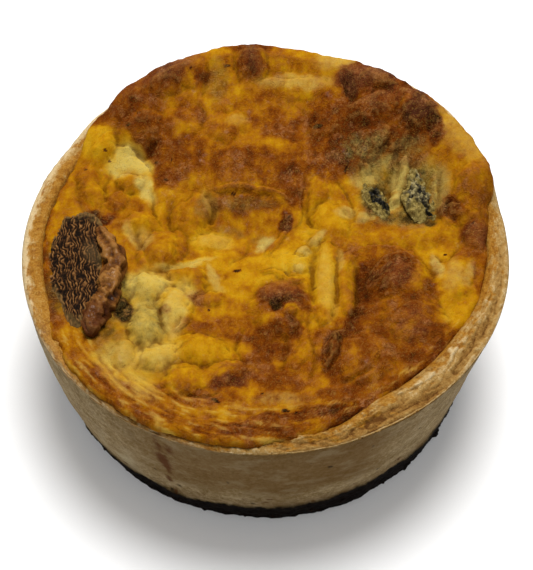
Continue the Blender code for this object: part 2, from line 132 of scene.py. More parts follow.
# Relief of the filling: lumps as x, y, half length, half width, turn in degrees, height
LUMPS = (
    (-22.5, -1.5, 6.6, 4.8, 60, 2.4),
    (-16.0, 8.5, 6.4, 4.8, 70, 2.2),
    (-27.5, 6.0, 5.0, 3.6, 10, 1.6),
    (-16.5, -8.5, 4.8, 3.4, 150, 2.0),
    (-24.5, -11.5, 4.0, 3.6, 0, 1.8),
    (-18.5, -16.5, 4.2, 5.6, 10, 1.7),
    (-24.5, -22.5, 3.6, 6.2, 5, 2.2),
    (-21.5, -30.5, 4.4, 3.4, 20, 1.5),
    (-28.5, -29.5, 3.6, 3.0, 70, 1.3),
    (-12.5, -28.0, 6.2, 4.6, 165, 1.8),
    (-16.0, -36.0, 5.0, 3.8, 30, 1.8),
    (-8.0, -33.5, 6.5, 3.2, 25, 1.4),
    (-39.0, 15.0, 6.4, 3.0, 110, 1.4),
    (-30.5, 16.5, 3.8, 2.6, 95, 2.0),
    (-37.5, 24.5, 4.4, 2.8, 60, 1.2),
    (-29.0, 29.5, 5.6, 4.4, 30, 1.8),
    (-20.0, 31.5, 4.6, 3.8, 0, 1.2),
    (-9.0, 31.0, 5.2, 4.2, 20, 1.6),
    (-22.0, 42.0, 6.4, 3.8, 45, 1.6),
    (-4.0, 46.5, 3.6, 4.6, 0, 1.8),
    (6.0, 42.0, 8.6, 3.4, 176, 1.0),
    (13.5, 7.0, 4.6, 6.0, 15, 1.4),
    (23.0, 35.0, 7.0, 3.6, 10, 1.8),
    (33.5, 33.0, 6.8, 5.0, 120, 2.0),
    (25.0, 42.5, 5.4, 3.4, 150, 1.8),
    (3.5, -16.5, 7.4, 8.2, 0, 2.6),
    (45.0, 11.0, 5.2, 7.0, 160, 2.2),
    (41.5, 7.8, 2.9, 2.2, 165, 2.0),
    (39.5, -9.0, 4.4, 8.0, 165, 1.5),
    (30.5, 4.0, 7.4, 4.2, 172, 0.8),
    (31.0, -18.5, 6.6, 8.4, 20, 2.2),
    (28.5, -9.0, 7.0, 7.4, 0, 3.2),
    (20.5, -30.0, 6.6, 7.2, 130, 1.9),
    (14.3, -27.5, 1.9, 5.8, 165, 2.4),
    (4.0, -3.5, 4.6, 3.4, 20, 1.0),
    (8.4, -0.4, 2.0, 1.5, 30, 1.2),
    (7.2, -5.2, 1.7, 1.2, 0, 1.0),
    (11.5, 2.6, 2.4, 1.6, 40, 1.2),
    (17.5, 10.2, 2.2, 1.8, 0, 1.1),
    (21.4, 8.6, 2.3, 1.6, 20, 1.1),
    (5.3, -18.2, 1.9, 1.6, 0, 3.1),
    (-12.0, 2.6, 4.2, 2.8, 20, 0.9),
    (-11.5, -14.2, 3.6, 2.2, 10, 0.9),
    (-33.0, 11.5, 3.4, 2.6, 30, 1.1),
    (11.0, 15.5, 4.4, 3.0, 70, 1.0),
    (14.0, 33.0, 5.0, 3.4, 30, 1.2),
    (46.0, 2.5, 3.0, 4.2, 10, 1.3),
)

# Melted shreds of cheese: the points that each runs through, its half width and its height
SHREDS = (
    (((13.5, 2.0), (13.0, -6.0), (12.4, -13.0), (12.0, -20.0)), 2.2, 1.4),
    (((18.5, -1.0), (16.8, -6.0), (17.4, -13.0), (17.0, -18.0)), 1.7, 1.1),
    (((30.6, 22.0), (30.0, 17.5), (28.0, 12.5)), 1.5, 2.4),
    (((23.5, 27.0), (27.5, 29.5)), 1.5, 0.9),
    (((27.5, 25.5), (31.5, 29.0)), 1.7, 1.0),
    (((-12.0, 15.8), (-6.0, 15.9), (1.5, 15.2), (5.0, 13.0)), 0.6, 0.9),
    (((-23.0, -8.6), (-16.4, -12.2), (-15.4, -17.5), (-18.0, -22.5)), 0.9, 1.2),
    (((36.0, -2.0), (36.6, -6.0), (38.6, -11.0)), 1.0, 1.0),
    (((39.5, -12.0), (42.5, -9.0), (44.5, -4.0)), 1.0, 1.0),
    (((0.5, -1.5), (1.5, 2.0), (4.0, 5.0)), 0.9, 1.0),
    (((8.5, -21.0), (8.0, -27.0), (6.6, -32.0)), 1.3, 0.9),
    (((21.5, 23.0), (22.5, 19.0), (25.5, 17.5)), 1.0, 1.1),
    (((-1.0, -6.4), (2.5, -6.2), (4.0, -8.0), (8.5, -8.2)), 0.7, 1.1),
    (((-21.0, -12.0), (-19.8, -17.0), (-21.5, -21.0)), 0.8, 0.8),
    (((-10.5, -24.5), (-14.0, -24.8), (-17.5, -28.5)), 0.8, 0.9),
)

# Broad rises and hollows: x, y, radius along x, radius along y, height
SWELLS = (
    (-5.0, 24.0, 17.0, 9.0, 2.4),
    (29.0, 15.5, 9.5, 9.0, -3.4),
    (21.0, -9.5, 2.8, 7.5, -1.8),
    (-4.0, 5.5, 13.0, 6.0, -1.8),
    (-31.0, 21.5, 5.5, 5.5, -1.6),
    (24.0, -19.0, 12.0, 15.0, 1.2),
    (18.5, 41.0, 3.0, 4.0, -1.6),
    (2.6, -16.0, 1.4, 2.2, -1.8),
    (-41.0, -8.0, 5.5, 13.0, -1.0),
    (0.0, -41.0, 17.0, 5.0, 0.8),
)

# Crisp edges of browned skin: points with the raised side on the left, height, how far back it eases off
FOLDS = (
    (((-14.5, 16.0), (-10.0, 15.2), (-4.0, 15.6), (1.0, 14.8), (5.5, 12.0)), 0.9, 5.0),
    (((38.6, -13.6), (36.2, -11.5), (34.2, -5.5), (30.5, -0.4), (25.0, 1.0), (20.0, 0.8),
      (17.8, -2.0), (17.6, -8.0)), 0.9, 3.0),
    (((36.5, -14.0), (34.6, -9.0), (32.4, -3.8), (29.0, -2.4), (25.2, -3.0), (22.8, -5.6),
      (21.6, -10.0), (21.4, -15.0)), 1.3, 4.0),
    (((36.0, -21.5), (34.2, -17.8), (31.0, -16.3), (27.6, -18.0), (26.4, -22.5), (28.6, -28.0)), 0.45, 3.0),
    (((17.8, -22.5), (14.6, -23.4), (12.6, -27.0), (12.4, -32.0)), 1.0, 2.0),
    (((-7.0, -26.5), (-10.0, -25.2), (-13.6, -25.4), (-17.0, -28.6), (-19.0, -32.0)), 0.8, 3.5),
    (((-10.6, -9.6), (-12.2, -7.0), (-16.0, -5.8), (-19.6, -7.6)), 0.7, 2.5),
    (((10.0, -9.6), (7.0, -7.6), (4.4, -8.4), (3.4, -6.4), (0.0, -6.2), (-2.6, -8.4)), 0.7, 2.2),
    (((-3.4, -31.8), (-8.0, -33.0), (-11.4, -37.6)), 0.8, 2.4),
    (((-35.5, 25.6), (-31.0, 25.6), (-27.0, 21.5), (-24.2, 15.0)), -0.9, 3.0),
    (((39.4, 12.0), (38.4, 9.2), (39.2, 6.4), (42.0, 5.2)), 1.0, 2.6),
    (((30.5, 36.5), (30.2, 32.0), (33.5, 28.4), (37.5, 26.0)), 0.7, 2.6),
    (((17.0, 45.5), (17.6, 41.0), (20.2, 37.0)), -0.9, 1.8),
    (((-27.5, 38.0), (-23.0, 40.5), (-18.0, 40.2), (-15.0, 43.0)), 0.8, 2.6),
    (((-2.0, 43.0), (4.0, 43.6), (12.0, 43.4)), -0.7, 2.0),
    (((8.5, 22.0), (8.0, 15.0), (7.6, 9.0), (4.4, 6.0)), -0.9, 3.0),
    (((-20.5, 3.0), (-19.8, -2.5), (-22.5, -6.8), (-26.0, -6.0)), -0.8, 2.6),
    (((-33.5, 17.5), (-31.5, 19.3), (-28.6, 18.6), (-27.8, 14.0)), -0.7, 1.8),
    (((-9.6, -3.0), (-14.0, -4.2), (-19.4, -6.4)), 0.6, 2.0),
    (((20.0, -40.5), (12.0, -42.6), (4.0, -42.8)), -0.7, 2.4),
)

# Creases between lumps: the points that each runs through, its half width and its depth
CREASES = (
    (((-29.5, 5.0), (-27.4, 0.0), (-24.0, -6.0)), 0.7, 0.9),
    (((-20.6, 13.0), (-21.4, 7.0), (-18.5, 1.5)), 0.7, 0.8),
    (((-13.4, 15.0), (-12.0, 9.5), (-14.5, 4.5)), 0.8, 0.8),
    (((-26.0, 16.0), (-24.5, 10.0), (-23.0, 5.5)), 0.6, 0.7),
    (((-28.5, -23.5), (-25.0, -28.0), (-25.5, -34.0)), 0.6, 0.7),
    (((-20.8, -14.5), (-21.5, -20.0), (-19.0, -26.0)), 0.6, 0.7),
    (((-31.5, -21.0), (-28.5, -16.0), (-27.5, -9.5)), 0.8, 0.8),
    (((10.2, 1.0), (10.4, -8.0), (9.6, -16.0)), 0.7, 0.9),
    (((15.2, -2.5), (15.0, -12.0), (14.4, -20.5)), 0.6, 0.8),
    (((19.6, -4.0), (19.6, -12.0), (18.6, -21.0)), 0.8, 1.0),
    (((-3.5, 3.5), (-4.8, -1.0), (-8.4, -5.0)), 0.6, 0.6),
    (((9.5, 17.5), (9.0, 9.0), (12.5, 4.5)), 0.6, 0.7),
    (((15.5, 19.0), (18.4, 14.0), (19.4, 11.0)), 0.5, 0.6),
    (((-38.0, 5.0), (-41.5, 11.0), (-42.5, 19.0)), 0.6, 0.5),
    (((-35.0, 20.0), (-36.0, 14.5), (-34.0, 9.0)), 0.6, 0.6),
    (((-15.2, 38.0), (-14.4, 43.0), (-14.6, 49.0)), 0.8, 0.8),
    (((-6.8, 41.5), (-8.0, 45.5), (-7.6, 50.0)), 0.6, 0.7),
    (((-24.5, 27.5), (-27.5, 24.0), (-31.5, 25.5)), 0.7, 0.8),
    (((-15.0, 29.5), (-14.2, 33.5), (-16.8, 37.0)), 0.6, 0.6),
    (((8.8, 29.0), (9.6, 33.0), (7.6, 37.0)), 0.7, 0.7),
    (((38.4, 18.0), (38.0, 12.5), (36.5, 5.0)), 0.8, 0.9),
    (((42.0, 0.5), (39.0, -3.5), (36.0, -2.0)), 0.6, 0.6),
    (((-4.0, -22.0), (-5.4, -27.0), (-3.4, -31.5)), 0.5, 0.6),
    (((4.2, -23.5), (4.4, -29.0), (3.2, -33.5)), 0.6, 0.7),
    (((10.2, -24.0), (10.8, -30.0), (9.0, -36.0)), 0.6, 0.8),
    (((25.0, -28.0), (21.0, -33.5), (15.0, -36.5)), 0.6, 0.7),
    (((-22.0, -37.5), (-13.0, -40.0), (-8.0, -38.6)), 0.5, 0.6),
)

# How far the top is baked, from 0 (pale) to 1 (charred), two places being painted shade: x, y, half width,
# half depth, turn, bake, strength
BAKED = (
    # back left
    (-32.0, 37.5, 15.0, 5.0, 42, 0.63, 1.0),
    (-40.5, 31.0, 5.0, 3.5, 55, 0.66, 0.9),
    (-22.0, 46.0, 7.5, 4.6, 45, 0.75, 1.0),
    (-28.5, 40.0, 7.0, 2.4, 40, 0.74, 0.8),
    (-18.0, 38.0, 4.0, 3.2, 0, 0.50, 0.9),
    (-11.5, 43.5, 3.4, 6.5, 0, 0.50, 1.0),
    (-15.5, 43.5, 1.5, 3.4, 0, 0.74, 1.0),
    (-35.0, 33.0, 5.0, 2.0, 45, 0.56, 0.8),
    (-30.0, 33.5, 5.5, 4.2, 30, 0.73, 0.9),
    (-26.0, 28.5, 4.6, 4.2, 0, 0.70, 0.9),
    (-24.5, 25.3, 2.2, 1.8, 0, 0.84, 1.0),
    (-18.0, 33.5, 4.2, 3.0, 0, 0.65, 0.9),
    (-10.0, 33.5, 5.0, 3.4, 20, 0.50, 0.9),
    (-12.0, 27.0, 6.0, 3.6, 0, 0.56, 0.8),
    (-20.0, 22.5, 7.0, 5.0, 20, 0.67, 1.0),
    (-22.0, 17.5, 2.6, 3.4, 0, 0.72, 0.8),
    (-6.0, 22.5, 8.0, 3.2, 10, 0.66, 0.9),
    (-4.0, 18.0, 8.0, 2.6, 0, 0.62, 0.9),
    (-15.0, 15.0, 4.0, 3.0, 0, 0.50, 0.9),
    # Painted shade under the fold's raised edge
    (-5.0, 12.5, 7.5, 2.4, 0, 0.64, 0.9),
    (-17.0, 9.0, 6.0, 5.0, 0, 0.45, 0.9),
    (-23.0, 12.0, 3.2, 5.0, 0, 0.42, 0.9),
    (-30.5, 8.5, 4.4, 2.6, 0, 0.52, 0.8),
    (-36.0, 7.2, 3.6, 2.4, 20, 0.86, 1.0),
    (-32.0, 3.5, 3.6, 3.0, 30, 0.52, 0.8),
    (-26.0, 3.0, 4.6, 4.0, 0, 0.42, 0.9),
    (-41.5, 16.5, 2.6, 8.0, -15, 0.49, 0.8),
    (-37.0, 13.0, 3.4, 5.6, 20, 0.42, 0.9),
    (-33.5, 26.5, 6.0, 2.0, -25, 0.40, 0.8),
    (-38.5, 26.0, 3.8, 5.0, 50, 0.26, 0.9),
    (-30.3, 23.0, 4.6, 3.0, -40, 0.10, 1.0),
    (-27.0, 16.0, 1.8, 4.2, 15, 0.22, 0.9),
    (-33.0, 20.5, 3.2, 3.0, 0, 0.12, 0.9),
    (-30.2, 17.0, 2.2, 4.0, 8, 0.41, 1.0),
    (-12.0, 2.5, 5.0, 3.0, 0, 0.29, 1.0),
    (-20.0, 3.5, 3.0, 3.0, 30, 0.42, 0.8),
    # back right
    (-4.0, 50.5, 5.0, 2.6, 0, 0.72, 1.0),
    (-4.0, 46.0, 3.2, 3.2, 0, 0.80, 1.0),
    (4.0, 48.0, 5.0, 3.0, 0, 0.48, 0.9),
    (12.0, 47.0, 6.0, 3.0, -10, 0.45, 0.9),
    (6.0, 42.5, 9.0, 2.2, 0, 0.50, 1.0),
    (4.0, 37.5, 9.0, 3.2, 0, 0.58, 0.9),
    (0.5, 32.5, 5.0, 3.6, 0, 0.64, 0.9),
    (13.0, 37.0, 5.0, 4.0, 0, 0.67, 0.9),
    (17.0, 32.5, 6.0, 5.0, 0, 0.78, 1.0),
    (9.5, 30.5, 6.5, 4.0, 0, 0.70, 0.9),
    (16.5, 27.5, 3.0, 1.8, 0, 0.86, 1.0),
    (21.5, 44.0, 6.0, 4.0, 20, 0.76, 1.0),
    (27.0, 42.5, 6.0, 4.0, -25, 0.79, 1.0),
    (18.6, 41.5, 1.5, 4.5, 15, 0.92, 1.0),
    (24.0, 36.5, 6.0, 3.4, 0, 0.74, 0.9),
    (28.5, 29.0, 6.5, 4.4, 0, 0.74, 0.9),
    (31.0, 38.0, 5.0, 2.4, -30, 0.76, 0.9),
    (43.0, 26.0, 5.0, 10.0, 38, 0.42, 1.0),
    (34.0, 32.0, 4.0, 4.0, 30, 0.84, 1.0),
    (37.0, 27.5, 1.8, 3.8, 10, 0.84, 1.0),
    (10.0, 24.5, 4.0, 4.0, 0, 0.68, 0.9),
    (5.0, 20.5, 5.0, 4.6, 0, 0.65, 0.9),
    (5.6, 17.2, 2.8, 5.4, 5, 0.74, 0.9),
    (4.2, 8.6, 1.6, 2.6, 0, 0.82, 1.0),
    (13.0, 15.5, 4.0, 5.0, 0, 0.41, 0.9),
    (16.0, 9.0, 4.6, 4.6, 0, 0.36, 0.9),
    (10.4, 8.0, 3.4, 4.8, 0, 0.33, 0.9),
    (20.5, 7.5, 3.4, 2.6, 0, 0.37, 0.9),
    (29.0, 6.2, 6.5, 3.4, 8, 0.52, 0.9),
    (33.0, 2.5, 4.0, 3.0, 0, 0.43, 0.8),
    (15.0, 21.5, 4.0, 4.0, 0, 0.66, 0.9),
    (20.0, 25.0, 6.0, 4.2, 0, 0.76, 0.9),
    (29.0, 16.0, 9.0, 8.0, 0, 0.40, 0.9),
    (40.0, 15.5, 2.6, 5.4, 0, 0.50, 0.9),
    (46.5, 13.5, 4.4, 4.6, 0, 0.55, 1.0),
    (46.5, 8.0, 4.0, 4.0, 0, 0.60, 0.9),
    (40.4, 8.4, 2.2, 2.4, 0, 0.84, 1.0),
    (45.5, 2.5, 4.0, 3.2, 0, 0.68, 0.9),
    (45.0, -4.0, 3.4, 5.0, 0, 0.60, 0.9),
    # front right
    (4.0, -2.5, 5.4, 3.6, 0, 0.33, 1.0),
    (8.5, -3.6, 3.0, 3.4, 0, 0.26, 0.9),
    (4.0, -14.0, 5.6, 5.0, 0, 0.80, 1.0),
    (1.0, -7.0, 4.0, 1.4, 0, 0.46, 0.8),
    (6.6, -10.0, 2.6, 1.2, -10, 0.74, 0.9),
    (2.4, -16.2, 1.0, 1.8, 0, 0.97, 1.0),
    (5.3, -18.2, 1.7, 1.5, 0, 0.46, 1.0),
    (4.0, -22.5, 5.4, 2.6, 0, 0.78, 0.9),
    (1.5, -27.5, 4.6, 4.0, 0, 0.68, 0.9),
    (8.6, -27.0, 2.0, 6.0, -10, 0.47, 0.9),
    (12.8, -9.0, 2.6, 10.0, 3, 0.34, 1.0),
    (11.0, -18.5, 2.0, 2.6, 0, 0.42, 0.8),
    (17.2, -7.0, 1.8, 6.0, 0, 0.46, 0.9),
    (27.0, -12.0, 9.0, 12.0, 0, 0.66, 1.0),
    # Painted shadow at the foot of the hood's raised edge
    (21.2, -10.0, 1.6, 7.0, -5, 0.84, 1.0),
    (22.0, 0.0, 6.0, 1.6, 8, 0.60, 0.9),
    (27.5, -6.0, 4.6, 3.2, 0, 0.70, 0.9),
    (27.0, -10.0, 5.0, 3.6, 0, 0.76, 0.9),
    (33.0, -8.0, 2.0, 6.0, -20, 0.48, 0.9),
    (37.2, -12.4, 1.6, 1.6, 0, 0.76, 0.9),
    (23.5, -24.5, 5.0, 8.0, 0, 0.63, 1.0),
    (31.5, -18.5, 3.4, 6.4, 25, 0.72, 0.9),
    (27.5, -28.5, 4.0, 1.8, 0, 0.76, 0.8),
    (18.6, -21.0, 1.8, 7.0, -12, 0.76, 0.9),
    (14.0, -28.0, 2.2, 6.0, -8, 0.77, 1.0),
    (18.0, -34.0, 5.4, 4.4, 0, 0.67, 0.9),
    (15.0, -39.0, 4.6, 2.0, 0, 0.71, 0.9),
    (25.0, -33.0, 5.0, 3.6, 40, 0.63, 0.9),
    (33.0, -26.0, 6.5, 3.0, 48, 0.72, 0.9),
    (13.0, -43.4, 9.0, 1.6, 8, 0.76, 1.0),
    (4.0, -36.5, 5.0, 2.6, 0, 0.71, 0.9),
    (8.0, -33.0, 3.6, 3.2, 0, 0.62, 0.8),
    (5.0, -40.5, 6.0, 1.8, 0, 0.57, 0.9),
    (36.0, -2.0, 3.0, 3.6, 0, 0.38, 0.9),
    (40.0, -9.0, 4.0, 8.0, 0, 0.39, 0.9),
    (40.0, -17.5, 3.4, 4.6, 0, 0.36, 1.0),
    (45.6, -11.0, 1.5, 9.0, 8, 0.60, 0.9),
    # front left
    (-23.0, -2.5, 5.6, 4.0, 30, 0.42, 1.0),
    (-9.0, -3.5, 7.0, 3.2, 0, 0.36, 0.9),
    (-17.0, -4.6, 6.0, 1.3, 15, 0.22, 0.9),
    (-3.0, -7.0, 5.4, 2.8, 0, 0.38, 0.9),
    (-16.0, -8.6, 4.4, 2.8, 20, 0.49, 1.0),
    (-9.0, -11.0, 4.0, 3.0, 0, 0.36, 0.9),
    (-25.0, -12.0, 5.0, 5.0, 0, 0.17, 1.0),
    (-18.0, -14.5, 3.4, 6.0, 0, 0.21, 0.9),
    (-12.5, -14.0, 4.0, 2.4, 0, 0.60, 0.9),
    (-24.5, -21.0, 4.6, 8.0, 0, 0.24, 1.0),
    (-20.5, -18.5, 1.3, 1.0, 0, 0.54, 1.0),
    (-14.0, -21.5, 4.0, 1.8, -10, 0.68, 0.9),
    (-10.0, -18.0, 3.6, 2.4, 0, 0.52, 0.8),
    (-5.0, -17.0, 3.6, 3.6, 0, 0.58, 0.8),
    (-7.0, -22.0, 5.0, 4.0, 0, 0.58, 0.9),
    (-3.0, -27.0, 4.4, 4.4, 0, 0.70, 0.9),
    (-21.0, -29.0, 5.0, 5.0, 20, 0.27, 1.0),
    (-29.0, -30.0, 5.0, 4.0, 30, 0.32, 0.9),
    (-24.0, -35.5, 5.0, 2.4, 0, 0.34, 0.9),
    (-11.0, -29.0, 7.0, 4.2, 15, 0.39, 1.0),
    (-16.0, -34.5, 5.8, 4.2, 20, 0.51, 1.0),
    (-7.0, -36.4, 4.4, 1.7, 25, 0.76, 1.0),
    (-0.5, -33.5, 4.6, 2.4, 0, 0.70, 0.8),
    (-11.0, -40.5, 7.5, 2.4, 0, 0.63, 0.8),
    (-26.0, -41.0, 8.0, 3.0, -28, 0.56, 0.9),
    (-16.0, -46.6, 12.0, 2.4, -8, 0.56, 0.9),
    (-2.0, -47.4, 11.0, 1.8, 0, 0.68, 0.9),
    (-34.0, -36.0, 5.0, 2.6, -45, 0.54, 0.8),
    (-38.0, -26.0, 3.0, 4.6, 35, 0.50, 0.8),
    (-29.2, -18.2, 1.8, 3.2, 15, 0.97, 1.0),
    (-44.5, -12.0, 2.2, 9.0, 10, 0.48, 0.7),
    # corrections, where a comparison of mean tones by cells of 8 mm
    # showed the top too light or too dark
    (32.0, 24.0, 5.0, 4.0, 0, 0.88, 0.45),
    (17.0, 24.0, 6.0, 4.0, 0, 0.88, 0.34),
    (20.0, 32.0, 8.0, 4.0, 0, 0.88, 0.20),
    (0.0, -48.0, 8.0, 3.0, 0, 0.88, 0.20),
    (16.0, -46.0, 5.0, 3.0, 20, 0.88, 0.50),
    (-14.0, -47.0, 7.0, 3.0, 0, 0.20, 0.12),
    (16.0, -24.0, 6.0, 5.0, 0, 0.88, 0.22),
    (8.0, -4.0, 7.0, 8.0, 0, 0.20, 0.40),
    (0.0, -9.0, 5.0, 5.0, 0, 0.20, 0.22),
    (16.0, -8.0, 6.0, 5.0, 0, 0.20, 0.22),
    (-16.0, -8.0, 5.0, 5.0, 0, 0.20, 0.20),
    (-8.0, -15.0, 5.0, 4.0, 0, 0.20, 0.22),
    (-17.0, -23.0, 5.0, 5.0, 0, 0.20, 0.22),
    (-38.0, 33.0, 4.0, 3.0, 45, 0.75, 0.50),
    (24.0, 8.0, 5.0, 4.0, 0, 0.88, 0.15),
    (-18.0, -32.0, 9.0, 5.0, 0, 0.20, 0.26),
    (8.0, 40.0, 5.0, 4.0, 0, 0.20, 0.22),
    (16.0, 48.0, 5.0, 4.0, 0, 0.20, 0.32),
    (-16.0, 48.0, 5.0, 4.0, 0, 0.20, 0.32),
    (-32.0, 40.0, 5.0, 4.0, 0, 0.20, 0.15),
)

# Seams and streaks baked brown, and a painted highlight along the fold's edge: the points that each runs
# through, its half width, bake and strength
SEAMS = (
    (((-44.5, 22.0), (-47.3, 12.0), (-47.9, 2.0), (-47.3, -6.0), (-45.3, -15.0), (-42.3, -23.0)),
     1.1, 0.68, 0.9),
    (((-38.0, -31.0), (-33.0, -37.0), (-27.0, -42.0), (-20.0, -45.6), (-10.0, -48.0)), 0.8, 0.66, 0.6),
    # Painted highlight: a paler line along the fold's raised edge
    (((-14.0, 15.6), (-9.0, 16.6), (-3.0, 16.6), (2.0, 15.6)), 0.5, 0.46, 0.8),
    (((39.0, -24.0), (33.0, -31.0), (26.0, -36.5), (19.0, -41.0)), 0.9, 0.72, 0.8),
    (((21.0, -41.0), (15.0, -43.8), (7.0, -44.6), (-2.0, -45.0)), 0.7, 0.74, 0.8),
    (((47.6, 6.0), (47.4, -6.0), (44.6, -17.0), (40.6, -22.6)), 0.7, 0.64, 0.8),
)

# Pale, milky places: x, y, half width, half depth, turn, strength
CREAMY = (
    # one more such correction
    (16.0, 48.0, 5.0, 2.5, 0, 0.35),
    (-30.3, 23.2, 4.4, 2.8, -40, 0.62),
    (-27.0, 16.0, 1.6, 4.0, 15, 0.85),
    (-33.0, 20.3, 2.8, 2.6, 0, 0.70),
    (-25.0, -11.0, 5.0, 4.0, 0, 0.58),
    (-17.5, -13.5, 3.0, 3.6, 0, 0.50),
    (-19.0, -20.0, 2.4, 5.0, 0, 0.60),
    (-24.5, -21.0, 4.2, 7.0, 0, 0.34),
    (-22.0, -29.5, 5.0, 4.0, 20, 0.45),
    (-29.0, -31.0, 4.4, 4.2, 30, 0.44),
    (-25.5, -37.5, 6.0, 2.8, -30, 0.30),
    (-17.0, -4.8, 6.0, 1.2, 15, 0.60),
    (-10.5, -8.4, 1.0, 3.6, 20, 0.50),
    (-11.0, 2.4, 3.6, 2.0, 0, 0.24),
    (-0.5, 2.6, 1.4, 3.0, -35, 0.80),
    (8.4, -0.4, 1.6, 1.3, 0, 0.60),
    (7.2, -5.2, 1.3, 1.0, 0, 0.50),
    (11.5, 2.6, 2.0, 1.2, 40, 0.50),
    (17.5, 10.2, 1.8, 1.5, 0, 0.50),
    (21.5, 8.8, 1.9, 1.3, 20, 0.50),
    (13.0, -9.0, 1.6, 9.0, 3, 0.22),
    (6.0, 42.6, 8.5, 1.6, 0, 0.35),
    (29.9, 18.5, 1.5, 4.6, -10, 0.72),
    (28.4, 13.2, 1.3, 2.6, -25, 0.85),
    (38.4, 13.0, 1.8, 5.0, 8, 0.34),
    (22.0, 19.0, 2.4, 1.8, 30, 0.50),
    (25.5, 22.6, 3.0, 1.8, 20, 0.28),
    (25.5, 27.8, 3.4, 1.6, 35, 0.16),
    (34.0, 20.0, 3.0, 2.0, 0, 0.12),
    (40.0, -8.0, 1.8, 4.6, -10, 0.26),
    (36.4, -5.5, 0.9, 4.0, 15, 0.55),
    (43.0, -7.5, 1.0, 3.6, -25, 0.35),
    (43.5, 26.0, 4.6, 10.0, 38, 0.22),
    (-26.5, 1.0, 2.0, 3.0, 0, 0.40),
    (-29.0, 2.5, 1.2, 3.0, 30, 0.45),
    (-12.5, 12.5, 1.6, 3.0, 30, 0.30),
    (14.0, -38.6, 0.8, 0.5, 0, 0.90),
    (4.0, -40.6, 5.0, 1.4, 0, 0.25),
    (-7.0, 32.0, 3.0, 1.6, 30, 0.20),
    (16.0, -3.0, 0.8, 3.0, 0, 0.30),
)

# Grey-green places, stained by mushroom and herbs, one of them painted shade under the fold: x, y, half
# width, half depth, turn, strength
STAINED = (
    (-24.5, -21.0, 4.0, 6.6, 0, 0.70),
    (-27.5, -13.0, 2.8, 4.6, 0, 0.40),
    (-30.5, -17.0, 2.4, 5.0, 10, 0.60),
    (26.5, 20.0, 6.4, 5.0, 0, 0.80),
    (33.5, 13.6, 5.4, 7.6, 0, 0.90),
    (24.5, 13.0, 4.0, 5.0, 0, 0.80),
    (29.0, 8.6, 6.0, 2.2, 0, 0.70),
    (22.5, 26.5, 4.6, 3.0, 0, 0.65),
    (30.0, 24.5, 5.0, 2.4, 0, 0.50),
    # Painted shade under the fold's raised edge, in grey-green
    (-5.0, 12.6, 7.0, 1.4, 0, 0.35),
    (-12.0, 42.0, 2.2, 5.0, 0, 0.40),
    (-1.2, 4.0, 2.0, 1.6, 0, 0.35),
    (-43.0, -14.0, 3.4, 3.4, 0, 0.40),
    (-14.0, 10.5, 1.6, 3.0, 0, 0.35),
    (-8.0, 5.8, 4.0, 1.4, 0, 0.30),
    (-31.0, -27.5, 3.6, 5.2, 15, 0.36),
    (-21.5, -33.0, 5.0, 3.0, 20, 0.25),
)

# Dusty mauve crust: x, y, half width, half depth, turn, strength
DUSTY = (
    (-22.0, 46.0, 7.0, 4.0, 45, 0.65),
    (-29.0, 40.5, 7.0, 2.4, 40, 0.40),
    (23.5, 43.5, 8.0, 3.6, 0, 0.65),
    (34.0, 33.0, 3.8, 3.8, 0, 0.45),
    (45.5, 3.0, 3.4, 3.0, 0, 0.50),
    (-7.0, -36.2, 4.0, 1.6, 25, 0.40),
    (-1.0, -33.0, 3.6, 1.4, 10, 0.35),
    (30.5, -22.0, 3.6, 4.6, 0, 0.35),
    (4.0, -12.0, 4.4, 3.0, 0, 0.45),
    (29.0, -9.0, 3.6, 3.6, 0, 0.35),
    (-4.0, 46.4, 2.4, 2.4, 0, 0.40),
    (27.0, 37.0, 5.0, 2.4, 0, 0.30),
)

# Black-green mushroom juice, and painted shadow in gaps, in a crease, under the fold and beside the hood
# and the curl's knob: x, y, half width, half depth, turn, strength
INKY_AND_SHADOWED = (
    (24.0, 15.5, 3.0, 1.8, 20, 0.90),
    (23.0, 12.0, 1.6, 2.6, -20, 0.80),
    (26.0, 9.0, 2.6, 1.2, -15, 0.70),
    (32.5, 8.4, 3.8, 1.5, -12, 0.95),
    (35.4, 6.6, 1.6, 1.2, -30, 0.90),
    (33.2, 13.5, 2.6, 4.6, 10, 0.60),
    (33.4, 18.6, 1.2, 1.0, 0, 0.75),
    # Painted shadow in the gaps between the shreds, these four
    (28.5, 24.4, 0.7, 3.0, -25, 0.55),
    (25.6, 26.0, 0.6, 2.4, -50, 0.45),
    (22.0, 20.6, 0.8, 1.6, 30, 0.45),
    (27.0, 19.5, 0.7, 1.8, -10, 0.40),
    (-29.2, -17.8, 1.9, 3.6, 12, 0.95),
    (-29.6, -10.5, 1.2, 4.2, 10, 0.72),
    (-43.5, -16.5, 1.6, 4.6, 25, 0.55),
    (-46.0, -6.0, 0.8, 6.0, 5, 0.40),
    (2.4, -16.4, 0.8, 1.3, 10, 0.80),
    # Painted shade in a crease, then under the fold's raised edge
    (-13.5, 10.5, 0.7, 2.6, 20, 0.25),
    (-7.0, 11.2, 5.0, 0.9, 4, 0.35),
    # Painted shadow at the foot of the hood's raised edge
    (19.4, -10.0, 0.7, 7.0, -4, 0.30),
    (-38.5, 7.4, 2.2, 0.9, 10, 0.60),
    # Painted shadow beside the curl's knob
    (-32.4, -23.0, 1.5, 3.8, 8, 0.60),
)

